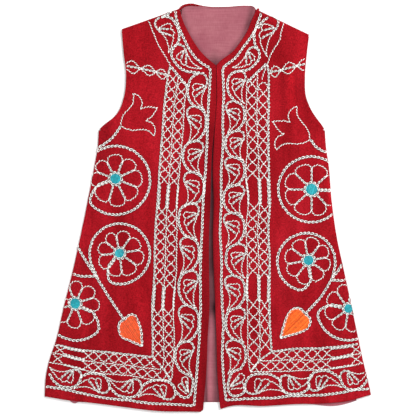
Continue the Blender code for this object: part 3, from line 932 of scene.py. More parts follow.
def pressed_pile(side, stitches, material):
    """The pile that each stitch presses down: a low mound under it, painted dark for the shade in the
    stitch's loop and round it, that pales towards its rim.
    """
    vertices, faces, pale_values = [], [], []
    around = len(PRESSED)
    for kind in KINDS:
        wide = kind.spread + kind.cord
        rings = [(1.0, wide + PRESSED_RIM, PRESSED_EDGE, 1.0)]
        if kind is not THIN:
            rings.insert(0, (0.88, wide + PRESSED_RIM / 4, PRESSED_RISE / 2, 0.12))
        for start, length, along, sideways, normal in zip(*frames_of(stitches[kind.name])):
            middle = start + PRESSED_MIDDLE * length * along
            base = len(vertices)
            vertices.append(middle + PRESSED_RISE * normal)
            pale_values.append(0.0)
            for size, half_width, rise, pale in rings:
                for a, b in PRESSED:
                    out = (a - PRESSED_MIDDLE) * size * length * along + b * half_width * sideways
                    vertices.append(middle + out + rise * normal)
                    pale_values.append(pale)
            for j in range(around):
                a, b = base + 1 + j, base + 1 + (j + 1) % around
                faces.append((base, a, b))
                if len(rings) > 1:
                    faces += [(a, a + around, b + around), (a, b + around, b)]
    name = f"{side}_pressed_pile"
    mesh = mesh_of(name, vertices, faces)
    # the painted light and shade of the velvet round the stitches, carried on under them
    carry(mesh, "tone", tone_of(NAP_AND_PAINTED_LIGHT[side], np.array(vertices)))
    carry(mesh, "pale", pale_values)
    return new_object(name, mesh, material)


def cord_rings(kind, local):
    """The corners of the cord's section at each station of one stitch, off the cord's line."""
    tangent = normalised(np.gradient(local, axis=0))
    across = np.cross(tangent, [0, 0, 1.0])
    for k in range(len(across)):
        if np.linalg.norm(across[k]) < 0.3:
            across[k] = across[k - 1] if k else [0, -1, 0]
    across = normalised(across)
    up = np.cross(across, tangent)
    turn = 2 * math.pi * (np.arange(kind.sides)[:, None] + 0.5) / kind.sides
    return np.cos(turn) * across[:, None] + np.sin(turn) * up[:, None]


def chain_object(name, kind, stitches, material):
    """One mesh of chain stitches, with the cord's length and turn as its UV map."""
    path = loop_path(kind)
    local = path * [kind.pitch, 1, 1]
    start, length, along, side, normal = frames_of(stitches)
    n = len(stitches)
    swell = 1 + rng.normal(0, WIDTH_VARIES, n)[:, None]
    fat = 1 + rng.normal(0, CORD_VARIES, n)[:, None]
    skew = rng.normal(0, SKEW_VARIES, n)[:, None]
    s = path[:, 0] * length[:, None]
    t = path[:, 1] * swell * (1 + (0.4 * skew + ONE_SIDED) * np.sign(path[:, 1]))
    t += kind.slant * (path[:, 0] - 0.5) * (1 + 4 * skew)
    centre = start[:, None] + s[..., None] * along[:, None] + t[..., None] * side[:, None]
    centre += path[:, 2:] * normal[:, None]
    radius = kind.cord * fat * (PLUMP[0] + (PLUMP[1] - PLUMP[0]) * smoothstep(path[:, 0]))
    basis = np.stack([along, side, normal], 1)
    rings = np.einsum("pkc,ncd->npkd", cord_rings(kind, local), basis) * radius[..., None, None]
    vertices = (centre[:, :, None] + rings).reshape(-1, 3)
    quads = tube_faces(len(path), kind.sides)
    first = np.arange(n)[:, None, None] * len(path) * kind.sides
    mesh = mesh_of(name, vertices, (quads + first).reshape(-1, 4))
    # painted shade where each loop rises from the pile, as the cord's tone
    cord_shade = -CORD_SHADE * (1 - smoothstep(path[:, 0] / np.where(path[:, 1] > 0, *CORD_SHADE_REACH)))
    carry(mesh, "tone", np.tile(np.repeat(cord_shade, kind.sides), n))
    u = run_along(local)[quads // kind.sides] + rng.uniform(0, 1, n)[:, None, None] * 0.05
    v = (quads[:, :1] % kind.sides + np.array([0, 1, 1, 0])) / kind.sides
    uv = np.stack(np.broadcast_arrays(u, v), -1).astype(np.float32)
    mesh.uv_layers.new(name="cord").data.foreach_set("uv", uv.reshape(-1))
    return new_object(name, mesh, material)


# ---------------------------------------------------------------- motifs
def on_line(front, which, at, shift=0.0):
    """Points of a line of stitches, at heights of the front or at places along its hem."""
    if which in HemLine._fields:
        return np.stack([at, column(HEM_LINES[front.side], "x", which, at) + shift], -1)
    return np.stack([column(LINES[front.side], "y", which, at) + shift, at], -1)


def course(front, which, start, end, shift=0.0):
    """Points along a line of stitches, close enough to sew straight from each to the next."""
    count = max(3, int(abs(end - start) / LINE_STEP))
    return on_line(front, which, np.linspace(start, end, count), shift)


def lattice_point(front, band, share, at):
    """A point of a lattice band: share 0 on the line nearer the front edge or hem, 1 on the other."""
    near, far = (on_line(front, which, at) for which in BANDS[band])
    return near + share * (far - near)


def sew_lattice(sewing, front):
    """Two light threads to a band, that swing from line to line and cross midway."""
    for band, first, last, count, arch in CROSSES[front.side]:
        step = (last - first) / (count - 1) if count > 1 else front.outward * LONE_CROSS
        wander = rng.normal(0, LATTICE_STRAY, count + 1)
        stops = [first - step / 2 + step * k + wander[k] for k in range(count + 1)]
        for share in LATTICE_SWING:
            points = []
            for spread, before in ARCH if arch else []:
                at = 0.5 + spread * (share - 0.5)
                points.append(lattice_point(front, band, at, first - before * step))
            for k, stop in enumerate(stops):
                points.append(lattice_point(front, band, share, stop))
                if k < count:
                    points.append(lattice_point(front, band, 0.5, stop + step / 2))
                share = 1 - share
            sewing.sew(THIN, points)


def sew_round_corner(sewing, front, kind, start, on_front, top, on_hem, gap=0.003):
    """A line from its start points down the front to its corner, and from there along the hem."""
    corner = getattr(CORNERS[front.side], on_front)
    along_front = course(front, on_front, top, corner[1] + gap)
    sewing.sew(kind, np.concatenate([start, along_front, [corner]]), False)
    along_hem = course(front, on_hem, corner[0] + front.outward * gap, front.outward * HEM_LINES_END)
    sewing.sew(kind, np.concatenate([[corner], along_hem]), False)


def sew_slot(sewing, front, slot):
    """The heavier sides of a pair of slots, and the rib between them."""
    names, inwards = ("outer", "centre", "centre", "inner"), -front.outward
    if slot.where == "hem":
        names, inwards = ("upper", "middle", "middle", "lower"), -1
    for name, shift in zip(names, (inwards * SLOT_SIDE, -SLOT_RIB, SLOT_RIB, 0.0)):
        sewing.sew(MIDDLE, course(front, name, slot.start, slot.end, shift), False)


def sew_lines(sewing, front):
    """The edge chain, the lines that hold the lattice, the slant on its top and its slots."""
    side = front.side
    corner, slant = CORNERS[side], SLANTS[side]
    slant_top, slant_foot = (slant.x0, slant.y0), (slant.x1, slant.y1)
    neck = through_points(NECK_CHAINS[side])
    sew_round_corner(sewing, front, THICK, neck, "edge", EDGE_TOP, "chain", 0.004)
    sewing.sew(THIN, NECK_BOUNDS[side])
    outer_start = [slant_top, (slant.x0 + front.outward * 0.003, slant.y0 - 0.011)]
    sew_round_corner(sewing, front, MIDDLE, outer_start, "outer", OUTER_TOP, "upper")
    middle = np.add(slant_top, slant_foot) / 2
    sew_round_corner(sewing, front, THIN, [middle], "centre", middle[1] - 0.006, "middle")
    sew_round_corner(sewing, front, THIN, [slant_foot], "inner", slant.y1 - 0.004, "lower")
    sewing.sew(THICK, [slant_top, slant_foot])
    sewing.sew(MIDDLE, [corner.outer, corner.centre, corner.inner])
    if side == "left":
        sewing.sew(THIN, TOP_THREAD)
    for slot in SLOTS[side]:
        sew_slot(sewing, front, slot)


def placed(palmette, front, a, b):
    """A point of a palmette's chart, a across its band and b along it."""
    heading = math.radians(palmette.heading)
    along = np.array([front.outward * math.sin(heading), -math.cos(heading)])
    across = np.array([front.outward * math.cos(heading), math.sin(heading)])
    if palmette.side == "inner":
        across = -across
    stretch = palmette.pitch * (palmette.curl if b < 0 else 1)
    return np.array([palmette.x, palmette.y]) + (a - BASE) * palmette.width * across + b * stretch * along


def sew_charted(sewing, chart, outlines, strokes):
    """A motif's light outlines and then its heavy strokes, each point placed by its chart."""
    for outline in outlines:
        sewing.sew(THIN, [chart(*point) for point in outline])
    for stroke in strokes:
        sewing.sew(MIDDLE, [chart(*point) for point in stroke])


def sew_palmette(sewing, front, palmette):
    def chart(a, b):
        return placed(palmette, front, a, b)

    sewing.sew(MIDDLE, [chart(*point) for point in CURL])
    sew_charted(sewing, chart, (FINGER_1, FINGER_2, DROP_FAR, DROP_NEAR), STROKES)


def sew_corner(sewing, front, palmette):
    turn = math.radians(palmette.turn)

    def chart(u, v):
        out = u * math.cos(turn) - v * math.sin(turn)
        up = u * math.sin(turn) + v * math.cos(turn)
        return palmette.x + front.outward * palmette.size * out, palmette.y + palmette.size * up

    sew_charted(sewing, chart, CORNER_OUTLINES, CORNER_STROKES)


def vine_course(front, palmettes):
    return [placed(palmette, front, a, b) for palmette in palmettes for a, b in VINE]


def sew_vine(sewing, front):
    """The palmettes and the heavy vine that runs from the shoulder past all of them."""
    side = front.side
    down_front, out_hem = PALMETTES[side], HEM_PALMETTES[side]
    for palmette in down_front + out_hem:
        sew_palmette(sewing, front, palmette)
    sew_corner(sewing, front, CORNER_PALMETTES[side])
    vine = VINE_STARTS[side] + vine_course(front, down_front)[VINE_SKIPS[side] :] + VINE_ENDS[side]
    vine += HEM_STARTS[side] + vine_course(front, out_hem)
    vine.append(placed(out_hem[-1], front, *VINE_TAIL))
    sewing.sew(THICK, vine)


def at_angle(x, y, radius, degrees):
    """A point at a distance from a centre, clockwise from the top."""
    angle = math.radians(degrees)
    return np.array([x + radius * math.sin(angle), y + radius * math.cos(angle)])


def petal(first, second, crown):
    """A round petal from the tip of one spoke over its crown to the tip of the next."""
    middle, half = (first + second) / 2, (second - first) / 2
    points = []
    for degrees in range(0, 181, 15):
        turn = math.radians(degrees)
        wide = math.cos(turn) * (1 + PETAL_BULGE * math.sin(turn))
        points.append(middle - half * wide + (crown - middle) * math.sin(turn) ** PETAL_BLUNT)
    return points


def on_wheel(wheel, radius, degrees):
    return at_angle(wheel.x, wheel.y, radius, degrees)


def drifted(wheel, radius, degrees, share=1.0):
    """A radius of a wheel, longer towards where the wheel drifts."""
    return radius * (1 + share * wheel.drift * math.cos(math.radians(degrees - wheel.toward)))


def spoke_tip(wheel, degrees):
    return on_wheel(wheel, drifted(wheel, wheel.spoke, degrees, SPOKE_DRIFT), degrees)


def sew_wheel(sewing, wheel, spiral):
    """A flower wheel: a ring round its eye, spokes with petals, and the spiral round them."""
    spokes = [wheel.turn + 360 / SPOKES * k + rng.normal(0, SPOKE_STRAY) for k in range(SPOKES)]
    sewing.sew(THICK, [on_wheel(wheel, wheel.eye + EYE_RING, degrees) for degrees in range(0, 361, 20)])
    for angle, after in zip(spokes, spokes[1:] + [spokes[0] + 360]):
        tips = spoke_tip(wheel, angle), spoke_tip(wheel, after)
        sewing.sew(MIDDLE, [on_wheel(wheel, wheel.eye + SPOKE_START, angle), tips[0]])
        between = (angle + after) / 2
        crown = drifted(wheel, wheel.petal, between) * (1 + rng.normal(0, CROWN_VARIES))
        sewing.sew(THIN, petal(*tips, on_wheel(wheel, crown, between)))
    sew_spiral(sewing, wheel, spiral, spokes[spiral.number])


def sew_spiral(sewing, wheel, spiral, first):
    """A second chain beside one spoke, that swings out from its tip and round the wheel."""
    away = 1 if spiral.to > first else -1
    beside = at_angle(0, 0, SPIRAL_BESIDE, first + 90)
    start = on_wheel(wheel, wheel.eye + SPOKE_START, first)
    sewing.sew(THICK, [start + beside, spoke_tip(wheel, first) + beside])
    points = []
    for turned in range(0, int(abs(spiral.to - first)) + 1, SPIRAL_STEP):
        angle = first + away * turned
        grown = math.sin(math.radians(min(90.0, SPIRAL_GROWTH * turned + SPIRAL_STEP)))
        inner = on_wheel(wheel, drifted(wheel, wheel.spoke, first, SPOKE_DRIFT), angle)
        outer = at_angle(wheel.ring_x, wheel.ring_y, wheel.ring, angle)
        points.append(inner + grown * (outer - inner))
    if spiral.tail:
        points.append(spiral.tail)
    sewing.sew(THICK, points)


def axes_of(motif):
    """A motif's base, its axis to the tip, and the direction across it, as long as the axis."""
    base = np.array([motif.x, motif.y])
    axis = np.array([motif.tip_x, motif.tip_y]) - base
    return base, axis, np.array([-axis[1], axis[0]])


def sew_tulip(sewing, tulip):
    base, axis, across = axes_of(tulip)
    for sign in (-1, 1):
        for part in (TULIP_BODY, TULIP_NOTCH, TULIP_TIP):
            sewing.sew(THIN, [base + u * axis + sign * v * across for u, v in part])


def leaf_outline(leaf):
    """The two halves of a heart-shaped leaf, from its notch to its tip."""
    base, axis, across = axes_of(leaf)
    across = across / np.linalg.norm(axis) * leaf.half_width
    halves = []
    for sign in (-1, 1):
        lean = leaf.skew * sign
        profile = [(u + lean * v if 0 < u < 0.5 else u, v) for u, v in LEAF_HALF]
        halves.append([base + u * axis + sign * v * across for u, v in profile])
    return halves


def sew_braid(sewing, knots):
    """A heavy chain through the knots, with a light strand over it and one under it between them."""
    sewing.sew(MIDDLE, [(knot.x, knot.y) for knot in knots])
    for a, b in zip(knots, knots[1:]):
        for reach in (a.rise, -a.dip):
            strand = [(a.x + u * (b.x - a.x), a.y + u * (b.y - a.y) + v * reach) for u, v in STRAND]
            sewing.sew(THIN, strand)


def sew_front(sewing, front):
    side = front.side
    sew_lines(sewing, front)
    sew_lattice(sewing, front)
    sew_vine(sewing, front)
    for wheel, spiral in zip(WHEELS[side], SPIRALS[side]):
        sew_wheel(sewing, wheel, spiral)
    for stem in STEMS[side]:
        sewing.sew(THICK, bowed(*stem))
    sew_tulip(sewing, TULIPS[side])
    for half in leaf_outline(LEAVES[side]):
        sewing.sew(THICK, half)
    sew_braid(sewing, BRAIDS[side])


# ---------------------------------------------------------------- satin fills
def cuts_at(u, v, level):
    """Where a closed outline crosses a level of v, as values of u."""
    cuts = []
    for u0, v0, u1, v1 in zip(u, v, np.roll(u, -1), np.roll(v, -1)):
        if (v0 - level) * (v1 - level) < 0:
            cuts.append(u0 + (level - v0) / (v1 - v0) * (u1 - u0))
    return cuts


def satin_object(name, ground, outline, direction, thread, material):
    """Long parallel threads that fill an outline, laid side by side over a little padding."""
    outline = np.asarray(outline, float)
    along = np.asarray(direction, float) / np.linalg.norm(direction)
    across = np.array([-along[1], along[0]])
    u, v = outline @ along, outline @ across
    vertices, faces, tones = [], [], []
    base = 0
    for level in np.arange(v.min() + thread.spacing / 2, v.max(), thread.spacing):
        cuts = cuts_at(u, v, level)
        if not cuts or max(cuts) - min(cuts) < 2 * (thread.spacing + SATIN_INSET):
            continue
        low, high = min(cuts) + SATIN_INSET, max(cuts) - SATIN_INSET
        jitter = rng.normal(0, SATIN_STRAY, 2)
        shares = np.linspace(0, 1, SATIN_STATIONS)
        levels = level + jitter[0] + (jitter[1] - jitter[0]) * shares
        flat = (low + (high - low) * shares)[:, None] * along + levels[:, None] * across
        places, normals, sewn = ground.lay(flat)
        places, normals, shares = places[sewn], normals[sewn], shares[sewn]
        arch = thread.rise * np.sqrt(np.clip(1 - (2 * shares - 1) ** 4, 0, 1)) - SATIN_SINK
        centre = places + normals * arch[:, None]
        tangent = normalised(np.gradient(centre, axis=0))
        side = np.cross(normals, tangent)
        thick = thread.radius * (1 + rng.normal(0, SATIN_VARIES))
        rings = tube(centre, side, np.cross(tangent, side), thick, SATIN_SIDES)
        vertices.append(rings)
        faces.append(base + tube_faces(len(centre), SATIN_SIDES))
        tones += [rng.uniform(0, 1)] * len(rings)
        base += len(rings)
    mesh = mesh_of(name, np.concatenate(vertices), np.concatenate(faces))
    carry(mesh, "tone", tones)
    return new_object(name, mesh, material)


# ---------------------------------------------------------------- materials
def feed(tree, target, inputs):
    """Sets a node's inputs, given by name or number: a socket is linked and a value is written."""
    for key, value in inputs.items():
        if isinstance(value, bpy.types.NodeSocket):
            tree.links.new(value, target.inputs[key])
        else:
            target.inputs[key].default_value = value


def node(tree, kind, inputs, **settings):
    made = tree.nodes.new(kind)
    for key, value in settings.items():
        setattr(made, key, value)
    feed(tree, made, inputs)
    return made


def new_material(name, colour, roughness, specular=0.25):
    made = bpy.data.materials.new(name)
    made.use_nodes = True
    shader = made.node_tree.nodes["Principled BSDF"]
    plain = {"Base Color": (*colour, 1), "Roughness": roughness, "Specular IOR Level": specular}
    feed(made.node_tree, shader, plain)
    return made, made.node_tree, shader


def ramp(tree, factor, stops):
    """A colour that runs through its stops as the factor grows."""
    made = node(tree, "ShaderNodeValToRGB", {"Fac": factor})
    elements = made.color_ramp.elements
    while len(elements) < len(stops):
        elements.new(0.5)
    for element, (place, colour) in zip(elements, stops):
        element.position = place
        element.color = (*colour, 1)
    return made.outputs["Color"]


def noise(tree, stretch, detail, scale=1.0):
    """Noise in the object's own space, finer along each axis by its stretch."""
    where = node(tree, "ShaderNodeTexCoord", {})
    scaled = node(tree, "ShaderNodeMapping", {"Vector": where.outputs["Object"], "Scale": stretch})
    inputs = {"Vector": scaled.outputs["Vector"], "Scale": scale, "Detail": detail}
    return node(tree, "ShaderNodeTexNoise", inputs).outputs["Fac"]


def mixed(tree, factor, a, b, blend="MIX"):
    """Two colours mixed, or one laid over the other as the blend says."""
    made = node(tree, "ShaderNodeMix", {}, data_type="RGBA", blend_type=blend)
    number = {socket.identifier: k for k, socket in enumerate(made.inputs)}
    feed(tree, made, {number["Factor_Float"]: factor, number["A_Color"]: a, number["B_Color"]: b})
    return next(socket for socket in made.outputs if socket.identifier == "Result_Color")


def shaded(tree, colour, pattern, dark, light, stops=(0.30, 0.70)):
    """A colour multiplied by a shade that goes from dark to light with a pattern."""
    return mixed(tree, 1.0, colour, ramp(tree, pattern, list(zip(stops, (dark, light)))), "MULTIPLY")


def maths(tree, operation, a, b=0.0):
    return node(tree, "ShaderNodeMath", {0: a, 1: b}, operation=operation).outputs[0]


def bumped(tree, height, strength, distance):
    inputs = {"Height": height, "Strength": strength, "Distance": distance}
    return node(tree, "ShaderNodeBump", inputs).outputs["Normal"]


def carried(tree, name):
    """A value that the mesh carries at its vertices."""
    return node(tree, "ShaderNodeAttribute", {}, attribute_name=name).outputs["Fac"]


def toned(tree, colour):
    """A colour made lighter or darker by the tone that its mesh carries, mostly painted light and shade."""
    tone = maths(tree, "ADD", carried(tree, "tone"), 1.0)
    return node(tree, "ShaderNodeVectorMath", {0: colour, "Scale": tone}, operation="SCALE").outputs[0]


def velvet_colour(tree):
    """The pile's colour with the painted light and shade that its mesh carries as its tone, and the grain
    that it shares with its bump.
    """
    broad = noise(tree, (9, 4, 6), 2.0)
    brushed = noise(tree, (46, 12, 24), 3.0)
    grain = noise(tree, (1, 1, 1), 2.0, 420.0)
    fine = noise(tree, (1, 1, 1), 1.0, 2600.0)
    low, middle, high = (0.243, 0.0040, 0.0078), (0.279, 0.0052, 0.0098), (0.323, 0.0072, 0.0134)
    colour = ramp(tree, broad, [(0.30, low), (0.52, middle), (0.72, high)])
    colour = shaded(tree, colour, brushed, (0.80, 0.70, 0.72), (1.14, 1.25, 1.25))
    colour = shaded(tree, colour, grain, (0.62, 0.54, 0.58), (1.24, 1.30, 1.30))
    colour = shaded(tree, colour, fine, (0.76, 0.74, 0.75), (1.16, 1.18, 1.18))
    return toned(tree, colour), mixed(tree, 0.5, grain, fine)


def velvet_sheen(weight):
    return {"Sheen Weight": weight, "Sheen Roughness": 0.30, "Sheen Tint": (1.0, 0.16, 0.22, 1)}


def velvet_material():
    made, tree, shader = new_material("red_velvet_pile", (0.33, 0.006, 0.012), 0.9, specular=0.04)
    colour, grain = velvet_colour(tree)
    feed(tree, shader, {"Base Color": colour, "Normal": bumped(tree, grain, 0.5, 0.0006)})
    feed(tree, shader, velvet_sheen(0.50))
    return made


def pile_shade_material():
    """Velvet that is painted dark towards its ground where the stitches press it: painted shade in and round
    the stitches.
    """
    made, tree, shader = new_material("pressed_pile", (0.040, 0.003, 0.005), 1.0, specular=0.0)
    colour, grain = velvet_colour(tree)
    deep = ramp(tree, grain, [(0.30, (0.030, 0.002, 0.004)), (0.70, (0.075, 0.003, 0.006))])
    feed(tree, shader, {"Base Color": mixed(tree, carried(tree, "pale"), deep, colour)})
    feed(tree, shader, velvet_sheen(0.25))
    return made


def cord_material():
    """White cord of two plies, wound along its UV map, with a faint stain of the thread's age and painted
    shade where each loop rises from the pile.
    """
    made, tree, shader = new_material("white_twisted_cord", (0.92, 0.92, 0.89), 0.6)
    uv = node(tree, "ShaderNodeUVMap", {}, uv_map="cord")
    split = node(tree, "ShaderNodeSeparateXYZ", {"Vector": uv.outputs["UV"]})
    along = maths(tree, "MULTIPLY", split.outputs["X"], CORD_TWISTS)
    turns = maths(tree, "ADD", along, split.outputs["Y"])
    wave = maths(tree, "SINE", maths(tree, "MULTIPLY", turns, 2 * math.pi))
    level = node(tree, "ShaderNodeMapRange", {"Value": wave, "From Min": -1.0}).outputs["Result"]
    plies = ramp(tree, level, [(0.05, (0.74, 0.77, 0.75)), (0.45, (0.98, 0.98, 0.95))])
    stain = noise(tree, (1, 1, 1), 1.0, 150.0)
    cool, warm = (0.80, 0.88, 0.85), (1.0, 0.98, 0.95)
    tint = ramp(tree, stain, [(0.32, cool), (0.50, (1.0, 1.0, 1.0)), (0.70, warm)])
    colour = toned(tree, mixed(tree, 1.0, plies, tint, "MULTIPLY"))
    feed(tree, shader, {"Base Color": colour, "Normal": bumped(tree, level, 0.4, 0.0002)})
    return made


def satin_material(name, dark, middle, light):
    """Laid thread, each from dark to light by the tone that it carries."""
    made, tree, shader = new_material(name, middle, 0.4)
    colour = ramp(tree, carried(tree, "tone"), [(0.0, dark), (0.45, middle), (1.0, light)])
    fine = noise(tree, (300, 300, 300), 1.0)
    fray = shaded(tree, colour, fine, (0.70, 0.70, 0.70), (1.0, 1.0, 1.0), (0.30, 0.60))
    feed(tree, shader, {"Base Color": fray})
    return made


def cotton_material():
    """Pink cotton with slubs across it, a finer weave along it and faded clouds, and the painted shade and
    light that its mesh carries as its tone.
    """
    made, tree, shader = new_material("pink_cotton", (0.34, 0.095, 0.127), 0.9, specular=0.1)
    slub = noise(tree, (30, 330, 1), 3.0)
    weave = noise(tree, (620, 90, 1), 1.0)
    cloud = noise(tree, (26, 26, 26), 3.0)
    colour = ramp(tree, cloud, [(0.30, (0.262, 0.077, 0.099)), (0.70, (0.312, 0.106, 0.126))])
    colour = shaded(tree, colour, slub, (0.92, 0.86, 0.88), (1.05, 1.09, 1.08))
    colour = shaded(tree, colour, weave, (0.93, 0.90, 0.91), (1.05, 1.06, 1.06))
    feed(tree, shader, {"Base Color": toned(tree, colour), "Normal": bumped(tree, slub, 0.3, 0.0004)})
    return made


# ---------------------------------------------------------------- back panel and its lining
def back_side(front, inset):
    """The back's outline up one side: along the seam under the side fold, then inside the armhole."""
    points = []
    for edge_y, side_y in row_ends(front, BACK_STEP):
        if side_y <= UNDERARM_Y:
            x, y, _ = side_roll(front, flat_row(front, edge_y, side_y, 1)[-1])[-1]
            seam_x = x - front.outward * (SEAM_GAP + inset)
            points.append((seam_x, y))
        else:
            x = float(armhole_x(front, side_y)) - front.outward * (ARMHOLE_INSET + inset)
            points.append((min(abs(x), abs(seam_x)) * front.outward, side_y))
    return points


def shoulder_seam(front, inset):
    """The neck end and the tip end of the back's shoulder."""
    out = shoulder_line(front)[2]
    neck_x, tip_x = float(edge_x(front, front.neck_y)), float(armhole_x(front, front.tip_y))
    slope = (front.tip_y - front.neck_y) / (tip_x - neck_x)
    inboard = FOLD_REACH + SHOULDER_UNDER + SEAM_GAP + inset
    neck = (neck_x - out[0] * inboard - front.outward * (SEAM_GAP + inset), front.neck_y - out[1] * inboard)
    tip_x -= front.outward * (ARMHOLE_INSET + inset)
    return neck, (tip_x, neck[1] + slope * (tip_x - neck[0]))


def drop_at(x, drops):
    """How far an outline is let down at x."""
    total = 0.0
    for x0, x1, height in drops:
        total += height * np.maximum(0.0, 1 - ((2 * x - x0 - x1) / (x1 - x0)) ** 2)
    return total


def back_grid(inset, size, neck_drops=(), hem_drops=()):
    """A grid over the back, between its hem, sides, shoulders and neck."""
    columns, rows = size
    climbs = []
    for front in (RIGHT, LEFT):
        tip = shoulder_seam(front, inset)[1]
        climbs.append([p for p in back_side(front, inset)[1:] if p[1] < tip[1] - BACK_STEP] + [tip])
    right, left = climbs
    x = np.linspace(right[0][0], left[0][0], columns)
    hem = np.stack([x, column(BACK_HEM, "x", "y", x) + inset - drop_at(x, hem_drops)], 1)
    x = np.linspace(BACK_NECK[0].x + inset, BACK_NECK[-1].x - inset, 60)
    neck = np.stack([x, column(BACK_NECK, "x", "y", x) - inset - drop_at(x, neck_drops)], 1)
    right_neck, right_tip = shoulder_seam(RIGHT, inset)
    top = even([right_tip, right_neck, *neck, *shoulder_seam(LEFT, inset)], columns)
    right, left = even([hem[0], *right[1:]], rows), even([hem[-1], *left[1:]], rows)
    s = np.linspace(0, 1, columns)[None, :, None]
    t = np.linspace(0, 1, rows)[:, None, None]
    grid = (1 - t) * hem + t * top + (1 - s) * right[:, None] + s * left[:, None]
    return grid - (1 - s) * ((1 - t) * hem[0] + t * top[0]) - s * ((1 - t) * hem[-1] + t * top[-1])


def back_shell(name, grid, z, wall, rim, material, tone):
    rows = np.concatenate([grid, np.broadcast_to(z, grid.shape[:2])[..., None]], 2)
    return shell(name, rows.reshape(-1, 3), faces_of_rows(rows), wall, rim, material, tone)


def build_back(velvet, cotton):
    """The back's velvet, and its lining lying on it in low creases."""
    grid = back_grid(0.0, BACK_GRID)
    tone = np.full(grid.size // 2, BACK_TONE)
    panel = back_shell("back_velvet", grid, BACK_WALL / 2, BACK_WALL, BACK_RIM, velvet, tone)
    grid = back_grid(LINING_INSET, LINING_GRID, NECK_DROPS, HEM_DROPS)
    creases = relief(LINING_CREASES, grid[..., 0], grid[..., 1])
    z = LINING_Z + LINING_WALL / 2 + LINING_CLEAR + np.maximum(creases, -LINING_CLEAR)
    tone = tone_of(LINING_SHADE, grid.reshape(-1, 2))
    return panel, back_shell("back_lining_cloth", grid, z, LINING_WALL, LINING_RIM, cotton, tone)


def neck_roll(side, velvet):
    """A rolled facing of velvet along an edge of the neck, closed at both ends."""
    stations = NECK_ROLLS[side]
    path = through_points([(roll.x, roll.y) for roll in stations], ROLL_STEP)
    count, sides = len(path), ROLL_SIDES
    known = np.linspace(0, 1, len(stations))
    radius = np.interp(np.linspace(0, 1, count), known, [roll.radius for roll in stations])
    tangent = normalised(np.gradient(path, axis=0))
    centre = np.column_stack([path, np.full(count, ROLL_Z)])
    sideways = np.column_stack([-tangent[:, 1], tangent[:, 0], np.zeros(count)])
    up = np.tile([0, 0, ROLL_HEIGHT], (count, 1))
    vertices = tube(centre, sideways, up, radius[:, None, None], sides)
    faces = tube_faces(count, sides)[:, [0, 3, 2, 1]].tolist()
    for first, turn in ((0, 1), ((count - 1) * sides, -1)):
        for j in range(sides // 2 - 1):
            faces.append([first + j, first + j + 1, first + sides - 2 - j, first + sides - 1 - j][::turn])
    mesh = mesh_of(f"{side}_neck_roll", vertices, faces)
    # the roll's painted light, as its tone
    carry(mesh, "tone", np.full(len(vertices), ROLL_PAINTED_LIGHT[side], np.float32))
    return new_object(f"{side}_neck_roll", mesh, velvet)


# ---------------------------------------------------------------- building it all
def raised_pile(vertices, stitches):
    """A front's middle surface, with its pile standing a little higher away from the stitches."""
    points = [stitch[0] for kind in KINDS for stitch in stitches[kind.name]]
    tree = KDTree(len(points))
    for k, point in enumerate(points):
        tree.insert(point, k)
    tree.balance()
    vertices = vertices.copy()
    for vertex in vertices:
        if vertex[2] > FRONT_MID - 0.001:
            distance = tree.find(vertex)[2]
            vertex[2] += PILE_LIFT * (1 - math.exp(-((distance / PILE_REACH) ** 2)))
    return vertices


def build_eyes(side, ground, turquoise):
    made = []
    for number, (wheel, direction) in enumerate(zip(WHEELS[side], EYE_DIRECTIONS), 1):
        circle = [on_wheel(wheel, wheel.eye + EYE_OVER, degrees) for degrees in range(0, 360, 10)]
        made.append(satin_object(f"{side}_eye_{number}", ground, circle, direction, EYE_THREAD, turquoise))
    return made


def build_leaf(side, ground, orange):
    leaf = LEAVES[side]
    first, second = (through_points(half) for half in leaf_outline(leaf))
    outline = np.concatenate([first, second[::-1]])
    middle = outline.mean(0)
    outline = middle + (outline - middle) * LEAF_FILL
    return satin_object(f"{side}_leaf", ground, outline, axes_of(leaf)[1], LEAF_THREAD, orange)


def build_front(front, velvet, pressed, cord, turquoise, orange):
    """A front's cloth, and the list of all that is sewn on it."""
    side = front.side
    rows = front_rows(front, FRONT_STEP)
    vertices, faces = np.concatenate(rows), faces_of_rows(rows)
    if front.outward < 0:
        faces = faces[:, ::-1]
    ground = Ground(front, vertices, faces)
    sewing = Sewing(ground)
    sew_front(sewing, front)
    stitches = sewing.stitches
    made = [chain_object(f"{side}_{kind.name}_chain", kind, stitches[kind.name], cord) for kind in KINDS]
    # the pressed pile, painted dark for the shade in and round the stitches
    made.append(pressed_pile(side, stitches, pressed))
    made += build_eyes(side, ground, turquoise)
    made.append(build_leaf(side, ground, orange[side]))
    vertices = raised_pile(vertices, stitches)
    # the front's painted light and shade, and its nap, as a tone at each vertex
    tone = tone_of(NAP_AND_PAINTED_LIGHT[side], vertices)
    return shell(f"{side}_front_velvet", vertices, faces, FRONT_WALL, FRONT_RIM, velvet, tone), made


velvet = velvet_material()
# the pressed pile's material, painted dark for the shade in and round the stitches
pressed = pile_shade_material()
cord = cord_material()
cotton = cotton_material()
turquoise, right_orange, left_orange = (satin_material(name, *colours) for name, *colours in SATINS)
orange = {"right": right_orange, "left": left_orange}

panel, lining = build_back(velvet, cotton)
rolls = [neck_roll(side, velvet) for side in NECK_ROLLS]
right_cloth, right_made = build_front(RIGHT, velvet, pressed, cord, turquoise, orange)
left_cloth, left_made = build_front(LEFT, velvet, pressed, cord, turquoise, orange)

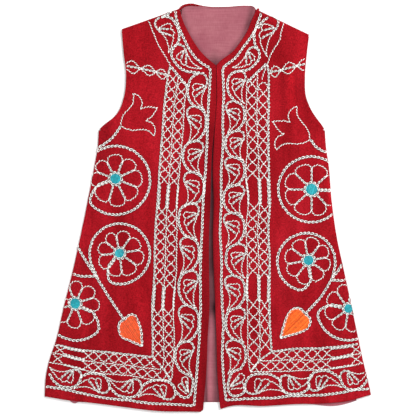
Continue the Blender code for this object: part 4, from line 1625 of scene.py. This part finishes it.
for piece, node_name, slot_name in (
    (panel, "back_panel", "red_velvet"),
    (lining, "back_lining", "pink_lining"),
    (right_cloth, "right_front", "red_velvet"),
    (left_cloth, "left_front", "red_velvet"),
):
    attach(piece, "root")
    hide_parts(node_name)
for piece, cut, under, with_it in (
    (panel, BACK_CUT, [], [rolls[0]]),
    (lining, LINING_CUT, [panel], []),
    (right_cloth, RIGHT_CUT, [lining, panel], right_made),
    (left_cloth, LEFT_CUT, [lining, panel], left_made + [rolls[1]]),
):
    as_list(under)
    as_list(with_it)
for piece in right_made + left_made + rolls:
    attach(piece, "root")
    next(slot for word, slot in SLOT_OF_WORD.items() if word in piece.name)


# ---------------------------------------------------------------- floor, light and camera
def area_light(name, place, size, power):
    """A square light that looks at the middle of the vest."""
    light = bpy.data.lights.new(name, "AREA")
    light.shape = "SQUARE"
    light.size = size
    light.energy = power
    lamp = bpy.data.objects.new(name, light)
    bpy.context.scene.collection.objects.link(lamp)
    lamp.location = place
    lamp.rotation_mode = "QUATERNION"
    lamp.rotation_quaternion = (-Vector(place)).to_track_quat("-Z", "Y")


floor_corners = [(x, y, FLOOR_Z) for x, y in ((-3, -3), (3, -3), (3, 3), (-3, 3))]
floor_mesh = mesh_of("studio_floor", floor_corners, [(0, 1, 2, 3)])
new_object("studio_floor", floor_mesh, new_material("studio_floor", (0.86, 0.86, 0.86), 0.9)[0])
area_light("key", (0.9, 0.7, 1.9), 0.9, 46)
area_light("fill", (-1.2, -0.3, 1.8), 1.6, 18)

scene = bpy.context.scene
scene.world = bpy.data.worlds.new("studio")
scene.world.use_nodes = True
background = scene.world.node_tree.nodes["Background"]
background.inputs["Color"].default_value = (1, 1, 1, 1)
background.inputs["Strength"].default_value = 0.62
scene.view_settings.view_transform = "Standard"
scene.view_settings.look = "None"

camera_data = bpy.data.cameras.new("camera")
camera_data.lens = 100
camera_data.sensor_width = 36
scene.camera = bpy.data.objects.new("camera", camera_data)
scene.collection.objects.link(scene.camera)
camera_height = VIEW_WIDTH * camera_data.lens / camera_data.sensor_width + CLOTH_LEVEL
scene.camera.location = (*VIEW_MIDDLE, camera_height)
